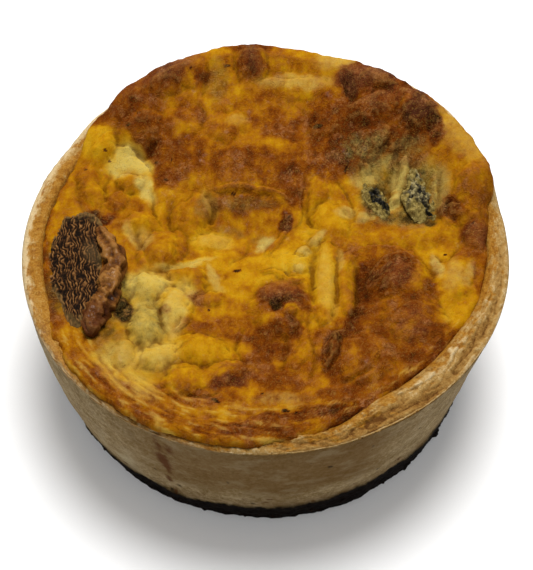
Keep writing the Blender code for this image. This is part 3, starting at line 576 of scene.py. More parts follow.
# Small charred specks: x, y, half length, half width, turn
SPECKS = (
    (-36.5, 23.6, 0.35, 0.30, 0), (-35.5, 22.0, 0.30, 0.25, 0), (-40.5, 19.0, 0.40, 0.30, 40),
    (-25.0, 22.2, 0.35, 0.3, 0), (-21.5, 22.3, 0.30, 0.30, 0), (-22.6, 17.6, 0.40, 0.30, 60),
    (-7.4, 14.6, 0.60, 0.25, 10), (-6.0, -6.0, 0.9, 0.35, 15), (44.6, 4.6, 0.50, 0.30, 30),
    (11.2, 31.6, 1.3, 0.7, 5), (-9.3, -41.2, 1.2, 0.45, -35), (4.6, -43.6, 0.9, 0.4, 0),
    (6.6, -43.8, 0.4, 0.3, 0), (17.6, 21.0, 0.25, 1.1, -15), (-9.6, 45.2, 0.9, 0.25, 20),
    (-31.6, 29.4, 0.4, 0.3, 0), (-29.4, 32.2, 0.4, 0.25, 20), (-11.6, -17.2, 0.35, 0.25, 0),
    (38.6, -1.8, 0.3, 0.3, 0), (17.6, 23.8, 0.2, 0.7, 10), (-18.0, 43.6, 0.3, 0.3, 0),
    (5.0, 9.6, 0.5, 0.3, 50), (33.6, 18.2, 0.9, 0.5, 70), (0.0, -39.4, 0.3, 0.25, 0),
)

# Where the filling is drawn out along the rim: the first angle and how far round it goes
RIM_FIBRES_FROM = 196
RIM_FIBRES_SPAN = 150

# Mushroom pieces: x, y, half length, half width, thickness, degrees of turn, height over the filling
GILLED_CAP = (-40.2, -6.8, 14.6, 5.9, 4.2, 96, 1.3)
DARK_SLICE = (24.4, 13.4, 4.9, 2.3, 2.6, 118, 0.9)
SHADED_SLICE = (33.6, 13.0, 6.4, 3.3, 3.0, 100, 1.1)
CURLED_EDGE = (
    (-36.4, 3.4), (-33.7, -1.3), (-32.0, -6.5), (-32.4, -12.0),
    (-33.7, -17.0), (-35.0, -21.5), (-35.2, -26.5),
)
CURLED_RADII = (1.4, 2.4, 2.7, 2.7, 2.9, 3.0, 1.9)
CURLED_LIFT = 0.7
CURL_LENGTH = 34.0
CURL_GIRTH = 2.3
CURL_END_SHARE = 0.07
GILL_PITCH = 0.72
PAD_SPREAD = 1.1
PAD_SQUARENESS = 3.4

# The camera, fitted to the photograph's rim and base outlines
PICTURE_HEIGHT_PX = 570
SENSOR_MM = 36.0
FOCAL_PX = 1366.33
CAMERA_ELEVATION = 51.63
CAMERA_ROLL = 1.127
CAMERA_DISTANCE = 5.6 * RIM_RADIUS
CAMERA_RIGHT = 0.00282 * RIM_RADIUS
CAMERA_UP = -0.17896 * RIM_RADIUS

# Mesh fineness
TOP_CELLS = 300
TURNED_STEPS = 640
CAP_CELLS = 130
SLICE_CELLS = 80
RIM_ROWS = 34
WALL_ROWS = 52
FOOT_ROWS = 20
CURL_STEPS = 150
CURL_SIDES = 44

# The inside of the case from the middle of its floor upwards: height, and radius where it is on the floor
INSIDE_STATIONS = (
    (FLOOR_HEIGHT, 4.0), (FLOOR_HEIGHT, 24.0), (FLOOR_HEIGHT, None),
    (14.0, None), (24.0, None), (31.0, None), (35.0, None),
)

# Rings that close the filling below its lip: how far inward and how far down
LIP_RINGS = ((-0.04, 0.5), (0.5, 1.5), (1.3, 2.1), (5.5, 3.2))

# Rings that close a mushroom piece below its edge: share of its width, and quarters of its thickness down
PAD_RINGS = ((0.97, 0.8), (0.8, 1.5), (0.45, 1.9))

# Crumbs round the foot: the settings of their node tree, in metres, and the two edges of their ring
CRUMB_SETTINGS = (
    ("Count", "NodeSocketInt", 90),
    ("Largest", "NodeSocketFloat", 0.0014),
    ("Smallest", "NodeSocketFloat", 0.0004),
    ("Seed", "NodeSocketInt", 11),
)
CRUMBS_PER_COUNT = 800.0
CRUMB_TURN = 6.28
CRUMB_RING_INSET = 0.3
CRUMB_RING_HEIGHTS = (0.9, 4.4)
CRUMB_RING_STEPS = 90

# Lights, in metres and watts: place, aim, how wide and how strong
OVERHEAD = ((0.02, 0.10, 0.62), (0, 0, 0.03), 0.30, 4.0)
GLINTS = ((-0.16, 0.42, 0.50), (0, 0, 0.03), 0.07, 1.1)
FLOOR_WASH = ((0, 0, 1.4), (0, 0, 0), 1.2, 6.0)
GLINT_COLOUR = (1.0, 0.84, 0.64)
SURROUND_STRENGTH = 0.22
FLOOR_HALF = 3.0

# Colours, from 0 to 255, each after its place from 0 to 1
BAKE_RAMP = (
    (0.00, (200, 180, 102)), (0.12, (196, 162, 58)), (0.24, (188, 144, 20)), (0.35, (176, 126, 8)),
    (0.40, (167, 115, 7)), (0.47, (154, 98, 6)), (0.54, (142, 84, 6)), (0.61, (124, 65, 6)),
    (0.67, (109, 52, 5)), (0.76, (90, 38, 5)), (0.81, (72, 28, 4)), (0.88, (52, 19, 4)),
    (1.00, (18, 10, 6)),
)
# The wall's dough in these two ramps is darkened to paint in the shade that the wall stands in
DOUGH_RAMP = ((0.38, (112, 90, 52)), (0.50, (150, 127, 86)), (0.62, (188, 168, 130)))
FINE_DOUGH_RAMP = ((0.38, (92, 72, 42)), (0.50, (150, 128, 88)), (0.62, (208, 190, 154)))
RIM_RAMP = ((0.0, (96, 60, 24)), (0.25, (136, 98, 46)), (0.55, (168, 132, 74)), (0.90, (202, 178, 134)))
GREASE_RAMP = ((0.38, (124, 72, 12)), (0.52, (158, 108, 30)), (0.66, (178, 136, 66)))
CHAR_RAMP = ((0.40, (9, 6, 5)), (0.64, (24, 15, 9)), (0.78, (64, 40, 20)))
CRUMB_RAMP = ((0.35, (9, 6, 5)), (0.55, (24, 14, 8)), (0.75, (74, 46, 22)))
GILL_RAMP = ((0.12, (18, 10, 5)), (0.36, (48, 29, 14)), (0.60, (90, 58, 28)), (1.0, (142, 102, 58)))
ROASTED_RAMP = ((0.10, (44, 22, 8)), (0.38, (88, 50, 17)), (0.60, (110, 68, 24)), (0.90, (146, 100, 46)))
STEWED_RAMP = ((0.20, (18, 16, 11)), (0.45, (52, 46, 31)), (0.70, (100, 90, 60)), (0.98, (158, 144, 98)))
CLINGING_CHEESE_RAMP = ((0.40, (112, 94, 44)), (0.60, (160, 140, 76)))
FLOOR_RAMP = ((0.3, (244, 244, 244)), (0.7, (248, 248, 248)))

# How closely the skin's wrinkles wind, by themselves and along the value they follow
WINDING = 34.0
WINDING_ALONG = 40.0

# Odd numbers that stir up the noise's lattice
LOW_BITS = 0xFFFFFFFF
SEED_STRIDE = 374761393
SEED_START = 12345
FIRST_MIX = 2654435761
LAST_MIX = 2246822519


def ease(start, end, value):
    """0 at start and 1 at end, with soft ends; start may be above end."""
    share = np.clip((value - start) / (end - start), 0, 1)
    return share * share * (3 - 2 * share)


def by_angle(degrees, stations):
    """A value round the edge, eased from one station to the next."""
    turns = np.mod(np.asarray(degrees, float), 360)
    angles = np.array([angle for angle, _ in stations] + [stations[0][0] + 360.0])
    values = np.array([value for _, value in stations] + [stations[0][1]])
    turns = np.where(turns < angles[0], turns + 360, turns)
    place = np.clip(np.searchsorted(angles, turns, side="right") - 1, 0, len(stations) - 1)
    share = ease(0, 1, (turns - angles[place]) / (angles[place + 1] - angles[place]))
    return values[place] * (1 - share) + values[place + 1] * share


def angle_of(x, y):
    return np.degrees(np.arctan2(y, x))


def scramble(cells, seed):
    """A repeatable number from 0 to 1 for each lattice cell."""
    mixed = np.full(cells.shape[:-1], (seed * SEED_STRIDE + SEED_START) & LOW_BITS, np.uint32)
    for axis in range(cells.shape[-1]):
        whole = (cells[..., axis].astype(np.int64) & LOW_BITS).astype(np.uint32)
        mixed = (mixed ^ whole) * np.uint32(FIRST_MIX)
        mixed ^= mixed >> np.uint32(15)
    mixed = mixed * np.uint32(LAST_MIX)
    mixed ^= mixed >> np.uint32(13)
    return mixed / (LOW_BITS + 1.0)


def slopes(cells, seed):
    """A random direction for each lattice cell, in two or three dimensions."""
    turn = scramble(cells, seed) * 2 * math.pi
    if cells.shape[-1] == 2:
        return np.stack([np.cos(turn), np.sin(turn)], -1)
    height = scramble(cells, seed + 101) * 2 - 1
    flat = np.sqrt(1 - height**2)
    return np.stack([flat * np.cos(turn), flat * np.sin(turn), height], -1)


def waves(points, size, seed):
    """Smooth noise from about -1 to 1; size is the width of its waves in the points' own units."""
    place = np.asarray(points, float) / size
    low = np.floor(place)
    part = place - low
    blend = part**3 * (part * (part * 6 - 15) + 10)
    total = np.zeros(place.shape[:-1])
    for corner in itertools.product((0, 1), repeat=place.shape[-1]):
        weight = np.prod(np.where(np.array(corner) == 1, blend, 1 - blend), -1)
        total += weight * ((part - corner) * slopes(low + corner, seed)).sum(-1)
    return total * 1.5


def rough(points, size, seed, octaves=4, gain=0.5):
    """Waves of several sizes, each half as wide as the one before."""
    total, strength = 0.0, 1.0
    for octave in range(octaves):
        total = total + strength * waves(points, size / 2**octave, seed + octave)
        strength *= gain
    return total


def pebbles(x, y, size, seed):
    """Rounded cobbles about size across: 1 at their middles and 0 in the creases between them."""
    place = np.stack([x, y], -1) / size
    low = np.floor(place)
    nearest = np.full(x.shape, 9.0)
    second = np.full(x.shape, 9.0)
    for step in itertools.product((-1, 0, 1), repeat=2):
        cell = low + step
        middle = cell + 0.5 + 0.42 * slopes(cell, seed)
        away = np.sqrt(((place - middle) ** 2).sum(-1))
        second = np.minimum(second, np.maximum(nearest, away))
        nearest = np.minimum(nearest, away)
    return np.clip((second - nearest) * 1.6, 0, 1) ** 0.6


def spot(x, y, cx, cy, half_x, half_y, turn, soft=0.4):
    """1 inside a turned ellipse and 0 outside, with a soft edge."""
    c, s = math.cos(math.radians(turn)), math.sin(math.radians(turn))
    along = ((x - cx) * c + (y - cy) * s) / half_x
    across = ((y - cy) * c - (x - cx) * s) / half_y
    return ease(1 + soft, 1 - soft, np.hypot(along, across))


def dome(x, y, lump, exponent):
    """Height of a rounded lump with a steep edge."""
    cx, cy, length, width, turn, height = lump
    c, s = math.cos(math.radians(turn)), math.sin(math.radians(turn))
    along = ((x - cx) * c + (y - cy) * s) / length
    across = ((y - cy) * c - (x - cx) * s) / width
    return height * np.clip(1 - (along**2 + across**2) ** 1.2, 0, 1) ** exponent


def rounded(points):
    """More points along a smooth curve through the given ones."""
    pts = [np.array(p, float) for p in points]
    pts = [2 * pts[0] - pts[1], *pts, 2 * pts[-1] - pts[-2]]
    out = []
    for a, b, c, d in zip(pts, pts[1:], pts[2:], pts[3:]):
        for t in (0.0, 0.25, 0.5, 0.75):
            bend = (2 * a - 5 * b + 4 * c - d) * t**2
            twist = (3 * b - a - 3 * c + d) * t**3
            out.append(0.5 * (2 * b + (c - a) * t + bend + twist))
    return out + [pts[-2]]


def along_line(x, y, points):
    """Distance to a line (positive on its left), and how far along it the nearest point is, from 0 to 1."""
    line = rounded(points)
    nearest = np.full(np.shape(x), np.inf)
    side = np.ones(np.shape(x))
    travel = np.zeros(np.shape(x))
    for k, ((ax, ay), (bx, by)) in enumerate(zip(line, line[1:])):
        dx, dy = bx - ax, by - ay
        share = np.clip(((x - ax) * dx + (y - ay) * dy) / (dx * dx + dy * dy), 0, 1)
        away = np.hypot(x - ax - share * dx, y - ay - share * dy)
        closer = away < nearest
        nearest = np.where(closer, away, nearest)
        side = np.where(closer, np.sign(dx * (y - ay) - dy * (x - ax)), side)
        travel = np.where(closer, (k + share) / (len(line) - 1), travel)
    return nearest * side, travel


def fold(x, y, points, height, reach):
    """A crisp edge: highest left of the line, easing off over reach, with a steep fall on its right."""
    away, travel = along_line(x, y, points)
    taper = np.clip(4 * travel * (1 - travel), 0, 1)
    behind = np.where(away >= 0, np.exp(-np.clip(away, 0, None) / reach), 0)
    fall = ease(FOLD_FOOT, FOLD_TOP, away)
    return height * taper * np.where(away > FOLD_TOP, behind, fall * np.exp(-FOLD_TOP / reach))


def wander(x, y, strength, seed):
    """Moves places about, so that what is drawn there has an uneven edge."""
    p = np.stack([x, y], -1)
    shift = []
    for k in (seed, seed + 1):
        way = waves(p, 7.0, k) + 0.6 * waves(p, 2.8, k + 20) + 0.35 * waves(p, 1.1, k + 40)
        shift.append(strength * way)
    return x + shift[0], y + shift[1]


def edge_share(x, y):
    """How far out a place is: 0 in the middle of the filling and 1 at its lip."""
    return np.hypot(x, y) / by_angle(angle_of(x, y), LIP_RADIUS_AT)


def broad_height(x, y):
    """Height of the filling without its fine relief."""
    degrees = angle_of(x, y)
    share = np.clip(edge_share(x, y), 0, 1)
    edge = by_angle(degrees, LIP_HEIGHT_AT)
    level = CENTRE_HEIGHT + (edge - CENTRE_HEIGHT) * np.clip(share / EDGE_SHARE, 0, 1) ** EDGE_CURVE
    for cx, cy, rx, ry, height in SWELLS:
        level = level + height * np.exp(-(((x - cx) / rx) ** 2) - ((y - cy) / ry) ** 2)
    heaped = np.zeros_like(level)
    wx, wy = wander(x, y, 1.0, 61)
    for lump in LUMPS:
        share_of_height = LUMP_HEIGHT_SHARE if lump[1] < BACK_LUMPS_FROM else BACK_LUMP_HEIGHT_SHARE
        heaped = heaped + (share_of_height * dome(wx, wy, lump, 1.25)) ** UNION_POWER
    wx, wy = wander(x, y, 0.9, 65)
    for points, half_width, height in SHREDS:
        away, travel = along_line(wx, wy, points)
        thin = SHRED_WIDENING * half_width * (0.35 + 0.65 * np.clip(4 * travel * (1 - travel), 0, 1) ** 0.4)
        ridge = SHRED_HEIGHT_SHARE * height * np.clip(1 - (away / thin) ** 2, 0, 1)
        heaped = heaped + ridge**UNION_POWER
    relief = heaped ** (1 / UNION_POWER)
    fade = np.clip((1 - share) / 0.05, 0, 1)
    return level + relief * (0.25 + 0.75 * fade)


def rim_fibres(x, y):
    """Streaks along the rim, and where the filling has them: round the front left and the lower right."""
    radius, degrees = np.hypot(x, y), angle_of(x, y)
    bent = radius + 0.5 * waves(np.stack([x, y], -1), 6.0, 109)
    arc = np.stack([bent, np.radians(degrees) * radius / 5.0], -1)
    past = np.mod(degrees - RIM_FIBRES_FROM, 360)
    inside = np.minimum(past, RIM_FIBRES_SPAN - past)
    return rough(arc, 1.15, 111, 3, 0.6), ease(40.0, 45.5, radius) * ease(0, 25, inside)


def lump_tone(x, y):
    """Each lump is baked a little more or less than its neighbours, up to the crease round it."""
    wx, wy = wander(x, y, 1.0, 61)
    tone = np.zeros_like(x)
    for number, lump in enumerate(LUMPS):
        offset = LUMP_TONE_SPREAD * (scramble(np.array([[number, 3]]), 401)[0] - 0.5)
        tone = tone + offset * ease(0.0, 0.3, dome(wx, wy, (*lump[:5], 1.0), 1.1))
    return tone


def paint(x, y):
    """How baked, creamy, stained, dusty and inky the filling is at each place, each from 0 to 1; a few
    baked, stained and inky places are painted shade and shadow, and one seam a painted highlight.
    """
    wx, wy = wander(x, y, 0.95, 7)
    p = np.stack([x, y], -1)
    bake = np.full(x.shape, START_BAKE)
    for cx, cy, rx, ry, turn, value, strength in BAKED:
        bake = bake + (value - bake) * strength * spot(wx, wy, cx, cy, rx, ry, turn, 0.30)
    for points, half_width, value, strength in SEAMS:
        away, _ = along_line(wx, wy, points)
        bake = bake + (value - bake) * strength * ease(half_width * 1.5, half_width * 0.4, np.abs(away))
    bake = bake + lump_tone(x, y)
    mottle = rough(p, 3.2, 71, 4, 0.6)
    streaks = rough(np.stack([x, y / 2.6], -1), 1.6, 77, 3, 0.6)
    fibres, near_rim = rim_fibres(x, y)
    bake = bake + (0.09 * ease(0.2, 0.5, bake) * (1 - 0.5 * near_rim) + 0.02) * mottle + 0.05 * streaks
    bake = bake + 0.14 * fibres * near_rim
    masks = []
    for spots in (CREAMY, STAINED, DUSTY, INKY_AND_SHADOWED):
        mask = np.zeros(x.shape)
        for cx, cy, rx, ry, turn, strength in spots:
            mask = np.maximum(mask, strength * spot(wx, wy, cx, cy, rx, ry, turn, 0.4))
        masks.append(np.clip(mask * (1 + 0.5 * rough(p, 1.6, 83 + len(masks), 2)), 0, 1))
    masks[0] = np.maximum(masks[0], 0.38 * near_rim * ease(0.15, 0.8, -fibres)) * ease(0.72, 0.52, bake)
    for cx, cy, rx, ry, turn in SPECKS:
        bake = np.maximum(bake, spot(x + 0.15 * waves(p, 0.5, 5), y, cx, cy, rx, ry, turn, 0.35))
    return np.clip(bake, 0, 1), *masks


def fine_relief(x, y, bake, cream):
    """Wrinkles, creases and crisp skin edges, in millimetres."""
    p = np.stack([x, y], -1)
    wx, wy = wander(x, y, 0.5, 33)
    crisp = ease(0.5, 0.75, bake)
    height = 0.14 * pebbles(*wander(x, y, 1.6, 47), 5.2, 17) * (1 - 0.5 * crisp) * (1 - cream)
    height += 0.04 * pebbles(*wander(x, y, 1.0, 53), 2.6, 29) * (1 - cream)
    height += 0.13 * rough(p, 2.8, 91, 4, 0.5) * (0.6 + 0.8 * crisp) * (1 - 0.6 * cream)
    height += 0.12 * (1 - np.abs(waves(p, 1.1, 97))) * crisp
    for points, rise, reach in FOLDS:
        height += fold(wx, wy, points, FOLD_HEIGHT_SHARE * rise, reach)
    for points, half_width, depth in CREASES:
        away, travel = along_line(wx, wy, points)
        taper = np.sqrt(np.clip(4 * travel * (1 - travel), 0, 1))
        cut = np.exp(-((away / (CREASE_WIDENING * half_width)) ** 2))
        height -= CREASE_DEPTH_SHARE * depth * taper * cut
    fibres, near_rim = rim_fibres(x, y)
    return height - 0.20 * fibres * near_rim


def mesh_from(name, points, faces):
    """A smooth-shaded mesh piece from points in millimetres."""
    mesh = bpy.data.meshes.new(name)
    mesh.from_pydata((np.asarray(points) * MM).tolist(), [], faces)
    mesh.update()
    mesh.shade_smooth()
    made = bpy.data.objects.new(name, mesh)
    bpy.context.scene.collection.objects.link(made)
    return made


def set_attribute(piece, name, values):
    layer = piece.data.attributes.new(name, "FLOAT", "POINT")
    layer.data.foreach_set("value", np.asarray(values, np.float32).ravel())


def disc_points(cells):
    """A square grid bent to a disc of radius 1, with cells of nearly even size, row by row."""
    line = np.linspace(-1, 1, cells + 1)
    u, v = np.meshgrid(line, line)
    u_leads = np.abs(u) > np.abs(v)
    lead, other = np.where(u_leads, u, v), np.where(u_leads, v, u)
    swing = math.pi / 4 * other / np.where(np.abs(lead) < 1e-9, 1.0, lead)
    near, far = lead * np.cos(swing), lead * np.sin(swing)
    return np.where(u_leads, near, far).ravel(), np.where(u_leads, far, near).ravel()


def disc_faces(cells):
    """The faces of the square grid, and the points round its edge in order."""
    wide = cells + 1
    faces = [(r * wide + c, r * wide + c + 1, (r + 1) * wide + c + 1, (r + 1) * wide + c)
             for r in range(cells) for c in range(cells)]
    edge = list(range(cells)) + [r * wide + cells for r in range(cells)]
    edge += [cells * wide + c for c in range(cells, 0, -1)] + [r * wide for r in range(cells, 0, -1)]
    return faces, edge


def closed_cap(top, edge, faces, rings, bottom):
    """Joins rings of points below a gridded top, and closes them at one point underneath."""
    points = [top]
    last = edge
    count = len(top)
    for ring in rings:
        points.append(ring)
        new = list(range(count, count + len(ring)))
        faces += [(last[k - 1], new[k - 1], new[k], last[k]) for k in range(len(new))]
        last = new
        count += len(ring)
    points.append(np.array([bottom]))
    faces += [(last[k - 1], count, last[k]) for k in range(len(last))]
    return np.concatenate(points), faces


def hollows(z, cells, spacing):
    """How far each grid point lies below its neighbours: for painted shade in creases and hollows, painted
    highlights on crests, and browner peaks.
    """
    grid = z.reshape(cells + 1, cells + 1)
    padded = np.pad(grid, spacing, mode="edge")
    size = cells + 1
    total = np.zeros_like(grid)
    for dr, dc in ((0, spacing * 2), (0, 0), (spacing * 2, 0), (spacing * 2, spacing * 2),
                   (spacing, 0), (0, spacing), (spacing * 2, spacing), (spacing, spacing * 2)):
        total += padded[dr:dr + size, dc:dc + size]
    return (total / 8 - grid).ravel()


def outer_radius(z):
    return BASE_RADIUS + (RIM_RADIUS - BASE_RADIUS) * z / RIM_HEIGHT


def make_filling():
    """The baked filling: a fine gridded top, a lip melted on to the rim, and a plain plug in the case."""
    u, v = disc_points(TOP_CELLS)
    degrees = angle_of(u, v)
    ring = np.stack([np.cos(np.radians(degrees)), np.sin(np.radians(degrees))], -1)
    uneven = 0.45 * rough(ring, 0.09, 131, 3) * np.hypot(u, v) ** 6
    reach = by_angle(degrees, LIP_RADIUS_AT) + uneven - 0.25
    x, y = u * reach, v * reach
    bake, cream, stain, dust, ink_and_shadow = paint(x, y)
    z = broad_height(x, y) + fine_relief(x, y, bake, cream) - 0.5
    inset = np.clip(1.6 - (reach - np.hypot(x, y)), 0, 1.6) / 1.6
    z -= LIP_ROUNDING * (1 - np.sqrt(1 - inset**2 * 0.98))
    faces, edge = disc_faces(TOP_CELLS)
    rim_ring = np.stack([x, y, z], -1)[edge]
    outward = rim_ring[:, :2] / np.hypot(rim_ring[:, 0], rim_ring[:, 1])[:, None]
    rings = []
    for inward, down in LIP_RINGS:
        flat = rim_ring[:, :2] - outward * inward
        rings.append(np.column_stack([flat, rim_ring[:, 2] - down]))
    plug = outward * (outer_radius(FLOOR_HEIGHT) - 6.5)
    rings.append(np.column_stack([plug, np.full(len(plug), FLOOR_HEIGHT + 0.4)]))
    points, faces = closed_cap(np.stack([x, y, z], -1), edge, faces, rings, (0, 0, FLOOR_HEIGHT + 0.4))
    piece = mesh_from("baked_filling", points, faces)
    away_from_lip = ease(0.4, 3.0, reach - np.hypot(x, y))
    values = {
        "Bake": bake, "Cream": cream, "Stain": stain, "Dust": dust, "Ink_and_shadow": ink_and_shadow,
        "Narrow": hollows(z, TOP_CELLS, 2) * away_from_lip,
        "Wide": hollows(z, TOP_CELLS, 7) * away_from_lip,
    }
    for name, value in values.items():
        sides = np.tile(value[edge], len(rings))
        set_attribute(piece, name, np.concatenate([value, sides, [value.mean()]]))
    piece.data.materials.append(filling_material())
    return piece


def rim_arc(degrees):
    """Degrees round the case as millimetres along its rim."""
    return np.radians(degrees) * RIM_RADIUS


def on_a_line(place):
    """A single measure as points on a line, as the noise wants them."""
    return np.stack([place, place * 0], -1)


def rim_detail(degrees, depth, width):
    """Relief of the rim's top: pastry layers folded along the rim at the front right, crumbly elsewhere."""
    arc = rim_arc(degrees)
    p = np.stack([arc, depth], -1)
    layered = by_angle(degrees, LAYERED_AT)
    drift = depth + 1.1 * waves(on_a_line(arc), 14.0, 141) + 0.3 * waves(p, 5.0, 147)
    lane = drift / LEAF_PITCH
    leaf = np.floor(lane)
    across = 2 * (lane - leaf) - 1
    heaped = 0.72 + 0.55 * waves(np.stack([arc, leaf * 9.0], -1), 7.0, 146)
    leaves = np.sqrt(1 - across**2 * 0.96) * heaped
    thin = 1 - np.abs(waves(np.stack([arc / 5.0, drift], -1), 0.6, 143)) * 2.2
    inner = np.exp(-(((drift - width + 1.9) / 1.2) ** 2)) * (0.75 + 0.5 * waves(on_a_line(arc), 6.0, 148))
    seam = np.exp(-(((drift - 1.5) / 0.7) ** 2))
    crack = ease(0.10, 0.0, np.abs(waves(np.stack([arc / 1.5, depth / 3.0], -1), 1.8, 144)))
    crumb = rough(p, 1.2, 145, 4, 0.65)
    fissure = ease(0.16, 0.0, np.abs(waves(np.stack([arc / 4.0, drift], -1), 1.7, 149)))
    folded = 0.75 * inner + 0.50 * leaves - 0.35 * seam + 0.06 * thin - 0.40 * fissure - 0.50
    return layered * folded + (0.15 + 0.18 * layered * inner) * crumb - 0.14 * crack * (0.4 + layered)


def make_case():
    """The pastry case: a turned wall with a crumbly, layered rim, floury sides and a charred base."""
    turns = np.linspace(0, 360, TURNED_STEPS, endpoint=False)
    rim_share = np.linspace(1.0, 0.0, RIM_ROWS)
    wall_z = np.linspace(RIM_HEIGHT - 0.6, CHAR_HEIGHT + 2.5, WALL_ROWS)
    wall_z = np.concatenate([wall_z, np.linspace(CHAR_HEIGHT + 2.1, 0.35, FOOT_ROWS)])
    section = np.array([case_section(turn, rim_share, wall_z) for turn in turns])
    radius, height, kind = section[..., 0], section[..., 1], section[..., 2]
    degrees = np.repeat(turns[:, None], radius.shape[1], 1)
    radius, height, marks = dress_case(degrees, radius, height, kind)
    x, y = radius * np.cos(np.radians(degrees)), radius * np.sin(np.radians(degrees))
    rows = radius.shape[1]
    points = np.stack([x, y, height], -1).reshape(-1, 3)
    faces = []
    for i in range(TURNED_STEPS):
        j = (i + 1) % TURNED_STEPS
        faces += [(i * rows + k, i * rows + k + 1, j * rows + k + 1, j * rows + k) for k in range(rows - 1)]
    count = len(points)
    points = np.concatenate([points, [[0, 0, FLOOR_HEIGHT], [0, 0, 0]]])
    for i in range(TURNED_STEPS):
        j = (i + 1) % TURNED_STEPS
        faces.append((count, i * rows, j * rows))
        faces.append((count + 1, j * rows + rows - 1, i * rows + rows - 1))
    piece = mesh_from("baked_pastry_case", points, faces)
    for name, value in marks.items():
        set_attribute(piece, name, np.concatenate([value.ravel(), [0, 0]]))
    piece.data.materials.append(pastry_material())
    return piece


def case_section(turn, rim_share, wall_z):
    """One section of the case: radius, height and what it is (0 inside, 1 rim, 2 wall, 3 underneath)."""
    top = float(by_angle(turn, RIM_HEIGHT_AT))
    width = float(by_angle(turn, WALL_AT))
    lift = top - RIM_HEIGHT
    rows = []
    for z, radius in INSIDE_STATIONS:
        share = max(z - FLOOR_HEIGHT, 0) / (RIM_HEIGHT - FLOOR_HEIGHT)
        inside = outer_radius(z) - width * (1.0 if share > 0.1 else 1.25)
        rows.append((inside if radius is None else radius, z + lift * share**1.5, 0))
    for share in rim_share:
        round_off = 0.9 * (abs(2 * share - 1) ** 5)
        rows.append((RIM_RADIUS - 0.25 - share * (width - 0.2), top - round_off, 1))
    for z in wall_z:
        share = max(z - FLOOR_HEIGHT, 0) / (RIM_HEIGHT - FLOOR_HEIGHT)
        rows.append((outer_radius(z) - 0.15, z + lift * share**1.5, 2))
    rows += [(BASE_RADIUS - 1.4, 0.0, 3), (30.0, 0.0, 3), (12.0, 0.0, 3)]
    return rows


def wall_relief(degrees, height, below_top, char, solid):
    """How far the wall stands out: its bulge, small waves, worn top edge and charred foot."""
    rise = np.clip(height / RIM_HEIGHT, 0, 1)
    uneven = by_angle(degrees, BULGE_AT) * 4 * rise * (1 - rise)
    uneven = uneven + 0.22 * waves(solid, 11.0, 151) + 0.12 * rough(solid, 3.2, 152, 3)
    uneven = uneven - ease(6.0, 0.0, below_top) * 0.18 * (1 + rough(solid, 1.6, 153, 3))
    foot = char * CHAR_PROUD * (0.7 + 0.8 * waves(solid, 7.0, 159)) * ease(0.0, 1.2, height)
    crags = char * (0.25 * rough(solid, 1.8, 157, 4, 0.6) + 0.10 * rough(solid, 0.7, 158, 2))
    return uneven + foot + crags


def dress_case(degrees, radius, height, kind):
    """Gives the turned case its rim layers, uneven wall and charred foot, and marks where each is."""
    around = np.radians(degrees)
    solid = np.stack([radius * np.cos(around), radius * np.sin(around), height], -1)
    width = by_angle(degrees, WALL_AT)
    depth = RIM_RADIUS - radius
    rim, wall = kind == 1, kind == 2
    detail = rim_detail(degrees, depth, width)
    inside = ease(0.0, 0.25, depth / width) * ease(1.0, 0.85, depth / width)
    height = height + np.where(rim, detail * (0.25 + 0.75 * inside), 0)
    below_top = by_angle(degrees, RIM_HEIGHT_AT) - height
    line = by_angle(degrees, CHAR_LINE_AT) + 0.8 * waves(solid, 9.0, 155) + 0.55 * waves(solid, 1.8, 156)
    char = ease(0.25, -0.15, height - line) * wall
    relief = wall_relief(degrees, height, below_top, char, solid)
    new_radius = radius + np.where(wall, relief, 0)
    new_radius = np.where(wall | rim, np.minimum(new_radius, PROUDEST_RADIUS), new_radius)
    scorch = ease(6.0, 0.0, height - line) * wall
    pale_edge = by_angle(degrees, PALE_EDGE_AT) * ease(2.6, 0.8, depth)
    # Paler on raised pastry layers and darker in the grooves: painted light and shade over the rim's own
    # toasted tone
    crest = np.clip(by_angle(degrees, RIM_TONE_AT) + 0.6 * detail + pale_edge, 0, 1)
    up_the_wall = ease(9.0, 19.0, height + 2.0 * waves(solid, 8.0, 163))
    clean_edge = ease(0.1, 0.7, depth + 0.5 * rough(solid, 1.8, 179, 3, 0.6))
    greasy = np.where(rim, greasy_mark(degrees, depth / width) * clean_edge, 0)
    marks = {
        "Char": np.where(kind == 3, 1.0, char),
        "Scorch": np.clip(scorch * (0.75 + 0.5 * waves(solid, 3.0, 161)), 0, 1),
        "Rim": rim + wall * ease(1.6, 0.2, below_top),
        "Crest": np.where(rim, crest, 0.75),
        # Baked browning, and painted shade on the wall's front
        "Browned_and_shaded": by_angle(degrees, BROWNED_AND_SHADED_WALL_AT) * up_the_wall * wall,
        "Greasy": greasy + (kind == 0) + overrun_mark(degrees, below_top) * wall,
        "Speck": speck_mark(degrees, height) * wall,
        "Drip": drip_mark(degrees, height, solid) * wall,
        "Flour": flour_mark(degrees, height, solid) * wall,
    }
    return new_radius, height, marks


def greasy_mark(degrees, share):
    """Orange grease that the filling left on the rim, from its inner edge outwards."""
    reach = by_angle(degrees, GREASE_AT)
    p = np.stack([rim_arc(degrees) / 2.2, share * 4.0], -1)
    return ease(1.0 - reach * 1.3, 1.12 - reach * 1.1, share + 0.42 * rough(p, 1.6, 165, 4, 0.7))


def overrun_mark(degrees, below_top):
    """Filling baked on to the top of the wall where it ran over the rim."""
    ragged = 0.9 * rough(on_a_line(rim_arc(degrees)), 3.0, 168, 3, 0.6)
    return ease(0.8, 1.0, by_angle(degrees, GREASE_AT)) * ease(1.5, 0.6, below_top + ragged)


